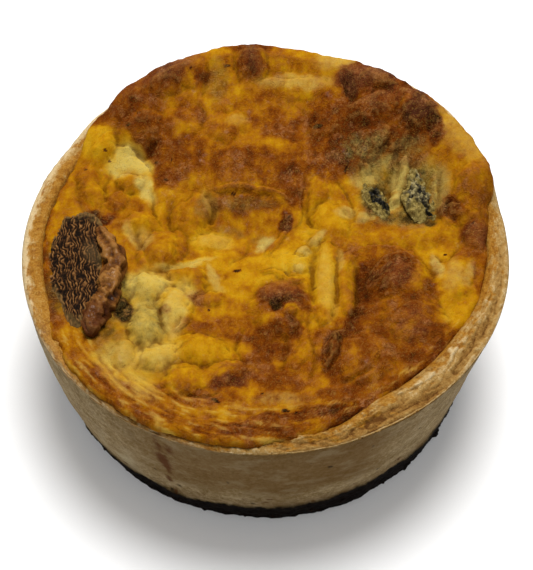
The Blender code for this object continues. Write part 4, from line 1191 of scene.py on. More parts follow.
def drip_mark(degrees, height, solid):
    """The brown run down the front left of the wall."""
    away = rim_arc(np.abs(degrees - DRIP_AT - 1.4 * waves(on_a_line(height), 9.0, 171)))
    half = 0.5 + 1.5 * ease(12, 34, height) * ease(42, 30, height) + 0.7 * rough(solid, 2.6, 172, 3)
    broken = ease(-0.45, 0.05, rough(solid, 3.0, 174, 3))
    return ease(half * 1.5, half * 0.5, away) * broken * ease(2.0, 7.0, height) * ease(39, 35, height)


def flour_mark(degrees, height, solid):
    """White floury places on the wall, streaked along it."""
    beside = ease(7.0, 2.0, rim_arc(np.abs(degrees - FLOUR_AT)))
    near = beside * ease(12, 4, np.abs(height - FLOUR_MARK_HEIGHT))
    along = np.stack([rim_arc(degrees) / 2.5, height], -1)
    dusting = ease(0.0, 0.8, rough(along, 3.2, 175, 4, 0.65))
    return np.clip(0.8 * near * ease(-0.3, 0.4, waves(solid, 4.0, 176)) + 0.25 * dusting, 0, 1)


def speck_mark(degrees, height):
    """Dark specks on the wall."""
    mark = np.zeros(np.shape(height))
    for angle, level, size in WALL_SPECKS:
        away = np.hypot(rim_arc(degrees - angle), height - level)
        mark = np.maximum(mark, ease(size * 1.3, size * 0.6, away))
    return mark


def pad_points(spec, cells, ripple):
    """Places on a mushroom piece: the worn outline and domed top of its solid, with ripple added on top."""
    cx, cy, length, width, thickness, turn, stands = spec
    u, v = disc_points(cells)
    spread, heading = np.hypot(u, v), np.arctan2(v, u)
    worn = 1 + 0.09 * np.sin(3 * heading + cx) + 0.06 * np.sin(5 * heading + cy)
    edge = np.stack([np.cos(heading), np.sin(heading)], -1)
    worn = worn * (0.97 + 0.035 * rough(edge, 0.35, 181, 3) * spread**4)
    along, across = u * length * worn * PAD_SPREAD, v * width * worn * PAD_SPREAD
    c, s = math.cos(math.radians(turn)), math.sin(math.radians(turn))
    x, y = cx + along * c - across * s, cy + along * s + across * c
    middle = broad_height(cx + along * c, cy + along * s) + stands - thickness / 2
    rise = np.clip(1 - spread**PAD_SQUARENESS, 0, 1) ** 0.5 * thickness / 2
    bumps, marks = ripple(along, across, spread)
    fade = ease(1.04, 0.94, spread)
    return np.stack([x, y, middle + rise + bumps * fade], -1), middle, marks


def make_pad(name, spec, cells, ripple, finish):
    """A mushroom piece with a gridded top and a plain closed underside."""
    top, middle, marks = pad_points(spec, cells, ripple)
    faces, edge = disc_faces(cells)
    rim = top[edge]
    centre = np.array([spec[0], spec[1]])
    rings = []
    for share, down in PAD_RINGS:
        flat = centre + (rim[:, :2] - centre) * share
        rings.append(np.column_stack([flat, middle[edge] - down * spec[4] / 4]))
    points, faces = closed_cap(top, edge, faces, rings, (*centre, float(middle.mean()) - spec[4] / 2))
    piece = mesh_from(name, points, faces)
    extra = len(points) - len(top)
    for key, value in marks.items():
        set_attribute(piece, key, np.concatenate([value, np.zeros(extra)]))
    piece.data.materials.append(finish)
    return piece


def gill_ripple(along, across, spread):
    """Fine, wandering, crumbly gills with crests that have dried, running along the cap."""
    p = np.stack([along, across], -1)
    drawn_out = 0.7 * waves(np.stack([along / 2, across], -1), 5.0, 193)
    lane = across + 0.9 * waves(p, 3.4, 191) + 0.5 * waves(p, 1.3, 192) + drawn_out
    wave = 0.5 + 0.5 * np.cos(2 * math.pi * lane / GILL_PITCH)
    broken = ease(-0.7, 0.2, waves(np.stack([along / 2.2, across], -1), 1.0, 194))
    crumbly = rough(p, 0.75, 197, 3, 0.7)
    crest = np.clip(0.10 + 0.72 * wave * broken + 0.30 * crumbly, 0, 1)
    height = 0.42 * crest - 0.25 + 0.40 * waves(p, 4.0, 195) + 0.05 * rough(p, 0.6, 196, 2)
    grey = spot(along, across, 2.5, -3.6, 3.0, 1.8, 20, 0.6)
    fringe = ease(0.80, 0.98, spread + 0.10 * rough(p, 1.2, 198, 2))
    return height, {"Crest": crest, "Grey": grey, "Fringe": fringe}


def slice_ripple(seed, pale, black_below):
    """Fuzzy lumps of a stewed slice, black at its front end and lost in cheese towards its edge."""
    def ripple(along, across, spread):
        p = np.stack([along, across], -1)
        lumpy = rough(p, 1.5, seed, 4, 0.6)
        folded = np.abs(waves(p + 0.5 * waves(p, 1.5, seed + 5)[:, None], 2.2, seed + 7))
        height = 0.60 * lumpy - 0.25 * ease(0.22, 0.0, folded) + 0.30 * rough(p, 0.8, seed + 9, 2)
        height = height - 0.5 * spread**2
        place = along + 1.2 * waves(p, 2.5, seed + 15)
        lit = 0.25 + 0.75 * ease(black_below - 1.5, black_below + 1.5, place)
        crest = np.clip(0.45 + 0.5 * lumpy + pale + 0.4 * rough(p, 0.9, seed + 13, 2), 0, 1) * lit
        fringe = ease(0.35, 0.80, spread + 0.7 * rough(p, 2.6, seed + 3, 3))
        return height, {"Crest": crest, "Grey": ease(0.1, 0.6, waves(p, 2.6, seed + 11)), "Fringe": fringe}
    return ripple


def rounded_end(share):
    """0 at an end and 1 a little way in, rising as a ball's outline does."""
    return np.sqrt(np.clip(1 - np.clip(1 - share / CURL_END_SHARE, 0, 1) ** 2, 0, 1))


def curl_path():
    """The curl's middle: share of the way along, places, heights, the way to its side, and radii."""
    path = np.array(rounded([(x, y, r) for (x, y), r in zip(CURLED_EDGE, CURLED_RADII)]))
    place = np.linspace(0, len(path) - 1, CURL_STEPS)
    low = np.clip(place.astype(int), 0, len(path) - 2)
    line = path[low] + (path[low + 1] - path[low]) * (place - low)[:, None]
    level = broad_height(line[:, 0], line[:, 1])
    level = np.convolve(np.pad(level, 12, mode="edge"), np.ones(25) / 25, mode="valid") + CURLED_LIFT
    heading = np.gradient(line[:, :2], axis=0)
    heading /= np.linalg.norm(heading, axis=1)[:, None]
    aside = np.stack([heading[:, 1], -heading[:, 0]], -1)
    travel = np.linspace(0, 1, CURL_STEPS)
    ends = rounded_end(travel) * rounded_end(1 - travel)
    return travel, line[:, :2], level, aside, line[:, 2] * np.maximum(ends, 0.02)


def make_curl():
    """The curled, roasted edge of the cap, wrinkled along its length, with rounded ends."""
    travel, middle, level, aside, radius = curl_path()
    around = np.linspace(0, 2 * math.pi, CURL_SIDES, endpoint=False)
    s, a = np.meshgrid(travel * CURL_LENGTH, around, indexing="ij")
    girth = (CURL_GIRTH * np.cos(a), CURL_GIRTH * np.sin(a))
    tube = np.stack([s, *girth], -1)
    ridges = rough(np.stack([s / 3.5, *girth], -1), 1.5, 201, 3, 0.6)
    knobbly = rough(tube, 2.4, 203, 3, 0.6)
    pinched = 0.16 * ease(0.25, 0.0, np.abs(waves(tube, 4.5, 207)))
    bumps = 0.88 + 0.20 * ridges + 0.22 * waves(tube, 5.0, 205) + 0.26 * knobbly - pinched
    past_groove = np.mod(a - 1.9 + 0.25 * np.sin(s / 5), 2 * math.pi) - math.pi
    groove = 1 - 0.22 * np.exp(-((past_groove / 0.3) ** 2))
    r = radius[:, None] * np.minimum(bumps * groove, 1.08)
    px = middle[:, 0:1] + aside[:, 0:1] * r * np.cos(a)
    py = middle[:, 1:2] + aside[:, 1:2] * r * np.cos(a)
    pz = level[:, None] + r * np.sin(a)
    points = np.stack([px, py, pz], -1).reshape(-1, 3)
    faces = []
    for start in range(0, (CURL_STEPS - 1) * CURL_SIDES, CURL_SIDES):
        ahead = start + CURL_SIDES
        for k in range(CURL_SIDES):
            n = (k + 1) % CURL_SIDES
            faces.append((start + k, ahead + k, ahead + n, start + n))
    faces.append(tuple(range(CURL_SIDES)))
    faces.append(tuple(range(CURL_STEPS * CURL_SIDES - 1, (CURL_STEPS - 1) * CURL_SIDES - 1, -1)))
    piece = mesh_from("roasted_curl", points, faces)
    dark = ease(0.66, 0.82, s / CURL_LENGTH) + 0.5 * ease(0.10, 0.02, s / CURL_LENGTH)
    # Painted light: paler along its top and darker underneath, besides its ridges and knobs
    set_attribute(piece, "Crest", np.clip(0.45 + 0.35 * ridges + 0.5 * knobbly + 0.2 * np.sin(a), 0, 1))
    set_attribute(piece, "Dark", np.clip(dark + 0.25 * waves(tube, 2.5, 209), 0, 1))
    piece.data.materials.append(roasted_material())
    return piece


def value_input(group, name, default):
    socket = group.interface.new_socket(name, in_out="INPUT", socket_type="NodeSocketFloat")
    socket.default_value = default


def maths_node(tree, operation, a, b):
    """The result of a Math node on two values, each a number or a socket."""
    node = tree.nodes.new("ShaderNodeMath")
    node.operation = operation
    for socket, value in zip(node.inputs, (a, b)):
        if isinstance(value, (int, float)):
            socket.default_value = value
        else:
            tree.links.new(value, socket)
    return node.outputs[0]


def mottle_group():
    """Two sizes of fine noise, as a mask from 0 to 1 and a height for a Bump node."""
    group = bpy.data.node_groups.new("fine_mottle", "ShaderNodeTree")
    value_input(group, "Coarse Size", 0.002)
    value_input(group, "Fine Size", 0.0005)
    value_input(group, "Fine Share", 0.4)
    value_input(group, "Distortion", 0.0)
    group.interface.new_socket("Mask", in_out="OUTPUT", socket_type="NodeSocketFloat")
    group.interface.new_socket("Height", in_out="OUTPUT", socket_type="NodeSocketFloat")
    nodes, link = group.nodes, group.links.new
    given, out = nodes.new("NodeGroupInput"), nodes.new("NodeGroupOutput")
    place = nodes.new("ShaderNodeTexCoord")
    noises = []
    for size in ("Coarse Size", "Fine Size"):
        scale = maths_node(group, "DIVIDE", 1.0, given.outputs[size])
        noise = nodes.new("ShaderNodeTexNoise")
        noise.inputs["Detail"].default_value = 4.0
        noise.inputs["Roughness"].default_value = 0.6
        link(place.outputs["Object"], noise.inputs["Vector"])
        link(scale, noise.inputs["Scale"])
        link(given.outputs["Distortion"], noise.inputs["Distortion"])
        noises.append(noise)
    mix = nodes.new("ShaderNodeMix")
    link(given.outputs["Fine Share"], mix.inputs["Factor"])
    link(noises[0].outputs[0], mix.inputs["A"])
    link(noises[1].outputs[0], mix.inputs["B"])
    link(mix.outputs["Result"], out.inputs["Mask"])
    link(mix.outputs["Result"], out.inputs["Height"])
    return group


def wrinkle_group():
    """Thin winding lines, as drying skin has, that keep to the levels of a value: 1 on a line."""
    group = bpy.data.node_groups.new("skin_wrinkles", "ShaderNodeTree")
    value_input(group, "Size", 0.002)
    value_input(group, "Distortion", 1.0)
    value_input(group, "Followed", 0.0)
    group.interface.new_socket("Mask", in_out="OUTPUT", socket_type="NodeSocketFloat")
    nodes, link = group.nodes, group.links.new
    given, out = nodes.new("NodeGroupInput"), nodes.new("NodeGroupOutput")
    place = nodes.new("ShaderNodeTexCoord")
    noise = nodes.new("ShaderNodeTexNoise")
    noise.inputs["Detail"].default_value = 3.0
    noise.inputs["Roughness"].default_value = 0.5
    link(place.outputs["Object"], noise.inputs["Vector"])
    link(given.outputs["Distortion"], noise.inputs["Distortion"])
    link(maths_node(group, "DIVIDE", 1.0, given.outputs["Size"]), noise.inputs["Scale"])
    winding = maths_node(group, "MULTIPLY", noise.outputs[0], WINDING)
    followed = maths_node(group, "MULTIPLY", given.outputs["Followed"], WINDING_ALONG)
    wave = maths_node(group, "SINE", maths_node(group, "ADD", winding, followed), 0.0)
    line = nodes.new("ShaderNodeMapRange")
    line.interpolation_type = "SMOOTHSTEP"
    line.inputs["From Min"].default_value = 0.2
    line.inputs["From Max"].default_value = 1.0
    link(wave, line.inputs["Value"])
    link(line.outputs["Result"], out.inputs["Mask"])
    return group


class Look:
    """A material being made: short calls for the nodes that these finishes share."""

    def __init__(self, name, roughness, **settings):
        self.material = bpy.data.materials.new(name)
        self.material.use_nodes = True
        self.tree = self.material.node_tree
        self.shader = self.tree.nodes["Principled BSDF"]
        self.shader.inputs["Roughness"].default_value = roughness
        for socket, value in settings.items():
            self.shader.inputs[socket.replace("_", " ")].default_value = value

    def link(self, a, b):
        self.tree.links.new(a, b)

    def attribute(self, name):
        node = self.tree.nodes.new("ShaderNodeAttribute")
        node.attribute_name = name
        return node.outputs["Fac"]

    def mottle(self, coarse, fine, share, distortion=0.0):
        node = self.tree.nodes.new("ShaderNodeGroup")
        node.node_tree = MOTTLE
        node.inputs["Coarse Size"].default_value = coarse
        node.inputs["Fine Size"].default_value = fine
        node.inputs["Fine Share"].default_value = share
        node.inputs["Distortion"].default_value = distortion
        return node.outputs

    def wrinkles(self, size, distortion, followed):
        node = self.tree.nodes.new("ShaderNodeGroup")
        node.node_tree = WRINKLES
        node.inputs["Size"].default_value = size
        node.inputs["Distortion"].default_value = distortion
        self.link(followed, node.inputs["Followed"])
        return node.outputs

    def maths(self, operation, a, b):
        return maths_node(self.tree, operation, a, b)

    def swing(self, mask, reach):
        """A mask that swings about 0, by half of reach to either side."""
        return self.maths("MULTIPLY", self.maths("SUBTRACT", mask, 0.5), reach)

    def tinted(self, colour, name, strength, over):
        """The colour with another over it where the named attribute is high."""
        return self.mix(self.maths("MULTIPLY", self.attribute(name), strength), colour, over)

    def ramp(self, value, stops):
        node = self.tree.nodes.new("ShaderNodeValToRGB")
        elements = node.color_ramp.elements
        while len(elements) < len(stops):
            elements.new(0.5)
        for element, (place, colour) in zip(elements, stops):
            element.position = place
            element.color = (*srgb(colour), 1)
        self.link(value, node.inputs["Fac"])
        return node.outputs["Color"]

    def span(self, value, low, high, to_low=0.0, to_high=1.0):
        node = self.tree.nodes.new("ShaderNodeMapRange")
        node.inputs["From Min"].default_value = low
        node.inputs["From Max"].default_value = high
        node.inputs["To Min"].default_value = to_low
        node.inputs["To Max"].default_value = to_high
        self.link(value, node.inputs["Value"])
        return node.outputs["Result"]

    def mix(self, factor, a, b, blend="MIX"):
        node = self.tree.nodes.new("ShaderNodeMix")
        node.data_type = "RGBA"
        node.blend_type = blend
        if isinstance(factor, (int, float)):
            node.inputs["Factor"].default_value = factor
        else:
            self.link(factor, node.inputs["Factor"])
        for socket, value in zip((node.inputs[6], node.inputs[7]), (a, b)):
            if isinstance(value, tuple):
                socket.default_value = (*srgb(value), 1)
            else:
                self.link(value, socket)
        return node.outputs[2]

    def bump(self, height, distance, strength):
        node = self.tree.nodes.new("ShaderNodeBump")
        node.inputs["Distance"].default_value = distance
        node.inputs["Strength"].default_value = strength
        self.link(height, node.inputs["Height"])
        self.link(node.outputs["Normal"], self.shader.inputs["Normal"])

    def into(self, socket, value):
        self.link(value, self.shader.inputs[socket])


def srgb(colour):
    """A colour given as 0 to 255, as the linear values that nodes hold."""
    return tuple((c / 255 / 12.92) if c <= 10 else ((c / 255 + 0.055) / 1.055) ** 2.4 for c in colour)


def painted_crest_light_and_crease_shade(look, colour, browned):
    """The colour with painted highlights on crests where it is browned, and painted shade in creases."""
    # Painted highlight: tan on crests where the skin is browned
    crest = look.maths("MULTIPLY", look.span(look.attribute("Narrow"), -0.04, -0.20), browned)
    colour = look.mix(look.maths("MULTIPLY", crest, 0.24), colour, (180, 126, 62))
    # Painted shade: darker down in creases, less so where it is creamy
    deep = look.span(look.attribute("Narrow"), 0.02, 0.30)
    crease = look.maths("MULTIPLY", deep, look.span(look.attribute("Cream"), 0.2, 0.8, 1.0, 0.4))
    return look.mix(look.maths("MULTIPLY", crease, 0.65), colour, (128, 80, 20), "MULTIPLY")


def painted_glints_and_grain(look, colour, grain, browned):
    """The colour with painted highlights as small glints on its browned skin, and the grain's own lights
    and darks.
    """
    glint_noise = look.mottle(0.0016, 0.0005, 0.4, 2.4)
    patch = look.mottle(0.0050, 0.0016, 0.35, 0.6)
    # Painted highlights: small tan glints in patches over browned skin
    glint_patches = look.maths("MULTIPLY", look.span(patch["Mask"], 0.50, 0.60), browned)
    painted_glints = look.maths("MULTIPLY", look.span(glint_noise["Mask"], 0.44, 0.60, 0.0, 0.42), glint_patches)
    colour = look.mix(painted_glints, colour, (182, 126, 76))
    colour = look.mix(look.span(grain["Mask"], 0.52, 0.64, 0.0, 0.26), colour, (214, 164, 72))
    return look.mix(look.span(grain["Mask"], 0.48, 0.36, 0.0, 0.55), colour, (150, 104, 44), "MULTIPLY")


def filling_material():
    """Baked cheese and custard: cream to gold to charred, oily in places, with painted shade in creases and
    hollows and painted highlights on crests, wrinkles and small glints.
    """
    look = Look("baked_cheese", 0.5, Specular_IOR_Level=0.01, Coat_Roughness=0.22, IOR=1.45,
                Subsurface_Weight=0.12, Subsurface_Scale=0.0012, Subsurface_Radius=(1.0, 0.55, 0.2))
    mottle = look.mottle(0.0016, 0.0005, 0.36, 1.8)
    wrinkle = look.wrinkles(0.0030, 1.0, look.attribute("Bake"))
    shifted = look.swing(mottle["Mask"], 0.26)
    grain = look.mottle(0.0009, 0.00035, 0.4, 3.2)
    grained = look.swing(grain["Mask"], 0.50)
    bake = look.maths("ADD", look.maths("ADD", look.attribute("Bake"), shifted), grained)
    browned = look.span(look.attribute("Bake"), 0.40, 0.62)
    # Painted highlight: paler lines along the wrinkles of browned skin
    painted_wrinkle_light = look.maths("MULTIPLY", look.span(wrinkle["Mask"], 0.0, 1.0, -0.01, 0.035), browned)
    bake = look.maths("SUBTRACT", bake, painted_wrinkle_light)
    bake = look.maths("SUBTRACT", bake, look.span(look.attribute("Narrow"), -0.25, 0.25, -0.05, 0.05))
    colour = look.ramp(bake, BAKE_RAMP)
    mess = look.mix(look.span(mottle["Mask"], 0.42, 0.58), (56, 50, 25), (136, 122, 64))
    colour = look.tinted(colour, "Stain", 0.8, mess)
    colour = look.tinted(colour, "Cream", 0.85, (192, 172, 92))
    # Black-green juice, and painted shadow in gaps and beside raised edges
    colour = look.tinted(colour, "Ink_and_shadow", 0.88, (24, 20, 11))
    colour = look.tinted(colour, "Dust", 0.7, (112, 62, 40))
    colour = painted_crest_light_and_crease_shade(look, colour, browned)
    colour = painted_glints_and_grain(look, colour, grain, browned)
    # Painted shade: darker in broad hollows
    painted_hollow_shade = look.span(look.attribute("Wide"), 0.1, 1.2)
    colour = look.mix(look.maths("MULTIPLY", painted_hollow_shade, 0.4), colour, (140, 96, 40), "MULTIPLY")
    look.into("Base Color", colour)
    wet = look.mottle(0.0026, 0.0012, 0.35)
    shine = look.span(look.attribute("Dust"), 0.0, 0.5, 1.0, 0.3)
    look.into("Coat Weight", look.maths("MULTIPLY", shine, look.span(wet["Mask"], 0.56, 0.68, 0.0, 0.08)))
    look.into("Roughness", look.span(mottle["Mask"], 0.35, 0.65, 0.5, 0.7))
    skin = look.maths("MULTIPLY", look.maths("MULTIPLY", wrinkle["Mask"], 0.35), browned)
    height = look.maths("ADD", look.maths("MULTIPLY", mottle["Height"], 0.6), skin)
    height = look.maths("ADD", height, look.maths("MULTIPLY", grain["Height"], 0.4))
    look.bump(height, 0.0005, 0.80)
    return look.material


def pastry_material():
    """Shortcrust: pale floury dough, toasted crests, greasy where the filling ran, black underneath."""
    look = Look("baked_pastry", 0.85, Specular_IOR_Level=0.08, IOR=1.4)
    mottle = look.mottle(0.0018, 0.0004, 0.5)
    broad = look.mottle(0.005, 0.0014, 0.45, 1.4)
    colour = look.ramp(broad["Mask"], DOUGH_RAMP)
    fine = look.mottle(0.0009, 0.0003, 0.5)
    grain = look.ramp(fine["Mask"], FINE_DOUGH_RAMP)
    colour = look.mix(0.42, colour, grain)
    patch = look.mottle(0.014, 0.005, 0.35, 0.8)
    colour = look.mix(look.span(patch["Mask"], 0.48, 0.62, 0.0, 0.40), colour, (104, 80, 44))
    colour = look.mix(look.span(patch["Mask"], 0.46, 0.36, 0.0, 0.30), colour, (184, 166, 130))
    # The wall's browning, with painted shade on its front
    colour = look.tinted(colour, "Browned_and_shaded", 0.85, (98, 69, 26))
    crest = look.maths("ADD", look.attribute("Crest"), look.swing(mottle["Mask"], 0.4))
    crest = look.maths("ADD", crest, look.swing(fine["Mask"], 1.2))
    # The rim's toasted tone, with the painted light and shade of its layers
    rim = look.ramp(crest, RIM_RAMP)
    colour = look.mix(look.attribute("Rim"), colour, rim)
    grease = look.ramp(mottle["Mask"], GREASE_RAMP)
    colour = look.tinted(colour, "Greasy", 0.9, grease)
    colour = look.tinted(colour, "Flour", 0.45, (196, 184, 152))
    colour = look.tinted(colour, "Drip", 0.92, (84, 46, 16))
    scorch = look.maths("MULTIPLY", look.attribute("Scorch"), look.span(mottle["Mask"], 0.3, 0.6, 0.5, 1.0))
    colour = look.mix(look.maths("MULTIPLY", scorch, 0.6), colour, (98, 68, 34))
    bare = look.span(look.attribute("Rim"), 0.0, 1.0, 1.0, 0.25)
    spots = look.maths("MULTIPLY", look.span(mottle["Mask"], 0.58, 0.70, 0.0, 0.6), bare)
    colour = look.mix(spots, colour, (78, 54, 26))
    colour = look.mix(look.attribute("Speck"), colour, (40, 26, 14))
    char = look.ramp(mottle["Mask"], CHAR_RAMP)
    colour = look.mix(look.attribute("Char"), colour, char)
    look.into("Base Color", colour)
    look.into("Roughness", look.span(look.attribute("Greasy"), 0.0, 1.0, 0.85, 0.5))
    look.bump(look.maths("ADD", mottle["Height"], look.maths("MULTIPLY", fine["Height"], 0.5)), 0.0006, 0.9)
    return look.material


def gill_material():
    """Dried gills: tan crests over black."""
    look = Look("mushroom_gills", 0.9, Specular_IOR_Level=0.08)
    mottle = look.mottle(0.0009, 0.0003, 0.5)
    crest = look.maths("ADD", look.attribute("Crest"), look.swing(mottle["Mask"], 1.0))
    colour = look.ramp(crest, GILL_RAMP)
    colour = look.tinted(colour, "Grey", 0.4, (92, 74, 46))
    colour = look.tinted(colour, "Fringe", 0.6, (122, 96, 54))
    look.into("Base Color", colour)
    look.bump(mottle["Height"], 0.0003, 0.6)
    return look.material


def roasted_material():
    """Roasted mushroom flesh: tan-brown, satin, with dark scorched ends."""
    look = Look("roasted_mushroom", 0.6, Specular_IOR_Level=0.08, Coat_Weight=0.10, Coat_Roughness=0.12,
                Subsurface_Weight=0.05, Subsurface_Scale=0.001)
    mottle = look.mottle(0.0012, 0.0003, 0.45)
    tone = look.maths("ADD", look.attribute("Crest"), look.maths("SUBTRACT", mottle["Mask"], 0.5))
    colour = look.ramp(tone, ROASTED_RAMP)
    colour = look.tinted(colour, "Dark", 0.65, (72, 31, 11))
    look.into("Base Color", colour)
    look.bump(mottle["Height"], 0.0004, 0.9)
    return look.material


def stewed_material():
    """Stewed mushroom: grey-green and black, cream where cheese clings to it."""
    look = Look("stewed_mushroom", 0.6, Specular_IOR_Level=0.08, Coat_Weight=0.06, Coat_Roughness=0.12)
    mottle = look.mottle(0.0010, 0.0003, 0.45)
    tone = look.maths("ADD", look.attribute("Crest"), look.swing(mottle["Mask"], 1.1))
    colour = look.ramp(tone, STEWED_RAMP)
    colour = look.tinted(colour, "Grey", 0.4, (92, 86, 72))
    cheesy = look.ramp(mottle["Mask"], CLINGING_CHEESE_RAMP)
    colour = look.tinted(colour, "Fringe", 0.9, cheesy)
    look.into("Base Color", colour)
    look.bump(mottle["Height"], 0.0003, 0.7)
    return look.material


def char_material():
    """Charred dough: black, with dark brown places."""
    look = Look("charred_crumbs", 0.9, Specular_IOR_Level=0.08)
    mottle = look.mottle(0.0010, 0.0003, 0.5)
    look.into("Base Color", look.ramp(mottle["Mask"], CRUMB_RAMP))
    look.bump(mottle["Height"], 0.0004, 0.8)
    return look.material


def crumb_tree(finish):
    """Geometry Nodes: small crumbs strewn along a ring, each of its own size and turn, as one mesh."""
    tree = bpy.data.node_groups.new("crumbs_along_ring", "GeometryNodeTree")
    tree.interface.new_socket("Geometry", in_out="INPUT", socket_type="NodeSocketGeometry")
    keys = {}
    for name, kind, _ in CRUMB_SETTINGS:
        keys[name] = tree.interface.new_socket(name, in_out="INPUT", socket_type=kind).identifier
    tree.interface.new_socket("Geometry", in_out="OUTPUT", socket_type="NodeSocketGeometry")
    nodes, link = tree.nodes, tree.links.new
    given, out = nodes.new("NodeGroupInput"), nodes.new("NodeGroupOutput")
    scatter = nodes.new("GeometryNodeDistributePointsOnFaces")
    scatter.distribute_method = "RANDOM"
    density = maths_node(tree, "MULTIPLY", given.outputs["Count"], CRUMBS_PER_COUNT)
    link(given.outputs["Geometry"], scatter.inputs["Mesh"])
    link(density, scatter.inputs["Density"])
    link(given.outputs["Seed"], scatter.inputs["Seed"])
    crumb = nodes.new("GeometryNodeMeshIcoSphere")
    crumb.inputs["Radius"].default_value = 1.0
    crumb.inputs["Subdivisions"].default_value = 2
    size = nodes.new("FunctionNodeRandomValue")
    size.data_type = "FLOAT"
    link(given.outputs["Smallest"], size.inputs[2])
    link(given.outputs["Largest"], size.inputs[3])
    turn = nodes.new("FunctionNodeRandomValue")
    turn.data_type = "FLOAT_VECTOR"
    turn.inputs[1].default_value = (CRUMB_TURN, CRUMB_TURN, CRUMB_TURN)
    place = nodes.new("GeometryNodeInstanceOnPoints")
    link(scatter.outputs["Points"], place.inputs["Points"])
    link(crumb.outputs["Mesh"], place.inputs["Instance"])
    link(size.outputs[1], place.inputs["Scale"])
    link(turn.outputs[0], place.inputs["Rotation"])
    real = nodes.new("GeometryNodeRealizeInstances")
    link(place.outputs["Instances"], real.inputs["Geometry"])
    coat = nodes.new("GeometryNodeSetMaterial")
    coat.inputs["Material"].default_value = finish
    link(real.outputs["Geometry"], coat.inputs["Geometry"])
    link(coat.outputs["Geometry"], out.inputs["Geometry"])
    return tree, keys


def make_crumbs():
    """Charred crumbs that cling round the foot of the case."""
    finish = char_material()
    tree, keys = crumb_tree(finish)
    radii = (BASE_RADIUS - CRUMB_RING_INSET, outer_radius(CHAR_HEIGHT) - CRUMB_RING_INSET)
    ring = []
    faces = []
    for k in range(CRUMB_RING_STEPS):
        turn = 2 * math.pi * k / CRUMB_RING_STEPS
        for radius, z in zip(radii, CRUMB_RING_HEIGHTS):
            ring.append((radius * math.cos(turn), radius * math.sin(turn), z))
        after = 2 * ((k + 1) % CRUMB_RING_STEPS)
        faces.append((2 * k, after, after + 1, 2 * k + 1))
    guide = mesh_from("crumb_guide", ring, faces)
    strewn = guide.modifiers.new("crumbs", "NODES")
    strewn.node_group = tree
    for name, _, value in CRUMB_SETTINGS:
        strewn[keys[name]] = value
    bpy.context.view_layer.update()
    graph = bpy.context.evaluated_depsgraph_get()
    mesh = bpy.data.meshes.new_from_object(guide.evaluated_get(graph))
    bpy.data.objects.remove(guide)
    co = np.empty(len(mesh.vertices) * 3)
    mesh.vertices.foreach_get("co", co)
    co = co.reshape(-1, 3) / MM
    co += 0.45 * np.stack([waves(co, 1.1, 221), waves(co, 1.1, 222), waves(co, 1.1, 223)], -1)
    co[:, 2] = np.maximum(co[:, 2], 0.02)
    mesh.vertices.foreach_set("co", (co * MM).ravel())
    mesh.update()
    crumbs = bpy.data.objects.new("charred_crumbs", mesh)
    bpy.context.scene.collection.objects.link(crumbs)
    return crumbs


def make_camera():
    """The photograph's view: the fitted elevation, roll, distance and place."""
    tilt, roll = math.radians(CAMERA_ELEVATION), math.radians(CAMERA_ROLL)
    back = Vector((0, -math.cos(tilt), math.sin(tilt)))
    right, up = Vector((1, 0, 0)), Vector((0, math.sin(tilt), math.cos(tilt)))
    right, up = (math.cos(roll) * right + math.sin(roll) * up, math.cos(roll) * up - math.sin(roll) * right)
    place = Vector((0, 0, RIM_HEIGHT)) + back * CAMERA_DISTANCE + right * CAMERA_RIGHT + up * CAMERA_UP
    camera = bpy.data.objects.new("camera", bpy.data.cameras.new("camera"))
    bpy.context.scene.collection.objects.link(camera)
    camera.data.sensor_width = SENSOR_MM
    camera.data.lens = FOCAL_PX * SENSOR_MM / PICTURE_HEIGHT_PX
    camera.data.clip_start = 0.01
    rotation = Matrix((right, up, back)).transposed().to_4x4()
    camera.matrix_world = Matrix.Translation(place * MM) @ rotation
    bpy.context.scene.camera = camera


def make_light(name, place, aim, size, power):
    light = bpy.data.lights.new(name, "AREA")
    light.shape = "DISK"
    light.size = size
    light.energy = power
    made = bpy.data.objects.new(name, light)
    bpy.context.scene.collection.objects.link(made)
    made.location = place
    made.rotation_euler = (Vector(aim) - Vector(place)).to_track_quat("-Z", "Y").to_euler()
    return made


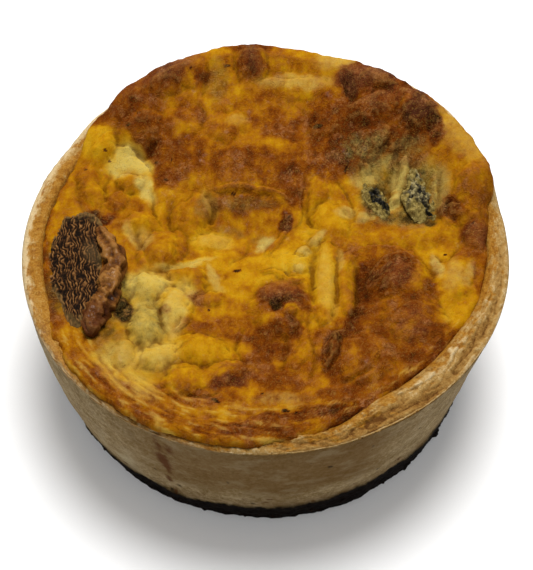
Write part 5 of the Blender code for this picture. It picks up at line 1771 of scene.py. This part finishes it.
def make_studio(pieces):
    """A pale floor, a large soft light overhead, small glints from behind, and a dim pale surround."""
    lit, ground = bpy.data.collections.new("lit_by_glints"), bpy.data.collections.new("lit_by_wash")
    for piece in pieces:
        lit.objects.link(piece)
    mesh = bpy.data.meshes.new("floor")
    corners = [(x * FLOOR_HALF, y * FLOOR_HALF, 0) for x, y in ((-1, -1), (1, -1), (1, 1), (-1, 1))]
    mesh.from_pydata(corners, [], [(0, 1, 2, 3)])
    floor = bpy.data.objects.new("floor", mesh)
    bpy.context.scene.collection.objects.link(floor)
    look = Look("pale_floor", 0.9)
    shade = look.mottle(0.08, 0.01, 0.3)
    look.into("Base Color", look.ramp(shade["Mask"], FLOOR_RAMP))
    mesh.materials.append(look.material)
    ground.objects.link(floor)
    make_light("overhead", *OVERHEAD)
    glints = make_light("glints", *GLINTS)
    glints.data.color = GLINT_COLOUR
    glints.light_linking.receiver_collection = lit
    wash = make_light("floor_wash", *FLOOR_WASH)
    wash.data.use_shadow = False
    wash.light_linking.receiver_collection = ground
    world = bpy.data.worlds.new("surround")
    world.use_nodes = True
    background = world.node_tree.nodes["Background"]
    background.inputs["Color"].default_value = (1, 1, 1, 1)
    background.inputs["Strength"].default_value = SURROUND_STRENGTH
    bpy.context.scene.world = world
    bpy.context.scene.view_settings.view_transform = "Standard"


def make_gilled_cap():
    """The half mushroom cap at the left, lying gills up."""
    return make_pad("gilled_cap", GILLED_CAP, CAP_CELLS, gill_ripple, gill_material())


def make_slice(name, spec, seed, pale, black_below):
    """A stewed mushroom slice with lumps of its own."""
    ripple = slice_ripple(seed, pale, black_below)
    return make_pad(name, spec, SLICE_CELLS, ripple, stewed_material())


def main():
    make_camera()
    pieces = (
        (make_case(), "pastry", ("pastry_case",)),
        (make_filling(), "baked_cheese", ("filling",)),
        (make_gilled_cap(), "mushroom_gills", ("gilled_mushroom",)),
        (make_curl(), "browned_mushroom", ("curled_mushroom_edge",)),
        (make_slice("dark_slice", DARK_SLICE, 211, -0.30, 0.0), "stewed_mushroom",
         ("mushroom_slice_dark",)),
        (make_slice("shaded_slice", SHADED_SLICE, 217, 0.10, -3.0), "stewed_mushroom",
         ("mushroom_slice_shaded",)),
        (make_crumbs(), "pastry", ()),
    )
    make_studio([piece for piece, _, _ in pieces])
    for piece, slot, nodes in pieces:
        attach(piece, "root")
        if nodes:
            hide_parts(*nodes)


MOTTLE = mottle_group()
WRINKLES = wrinkle_group()
main()
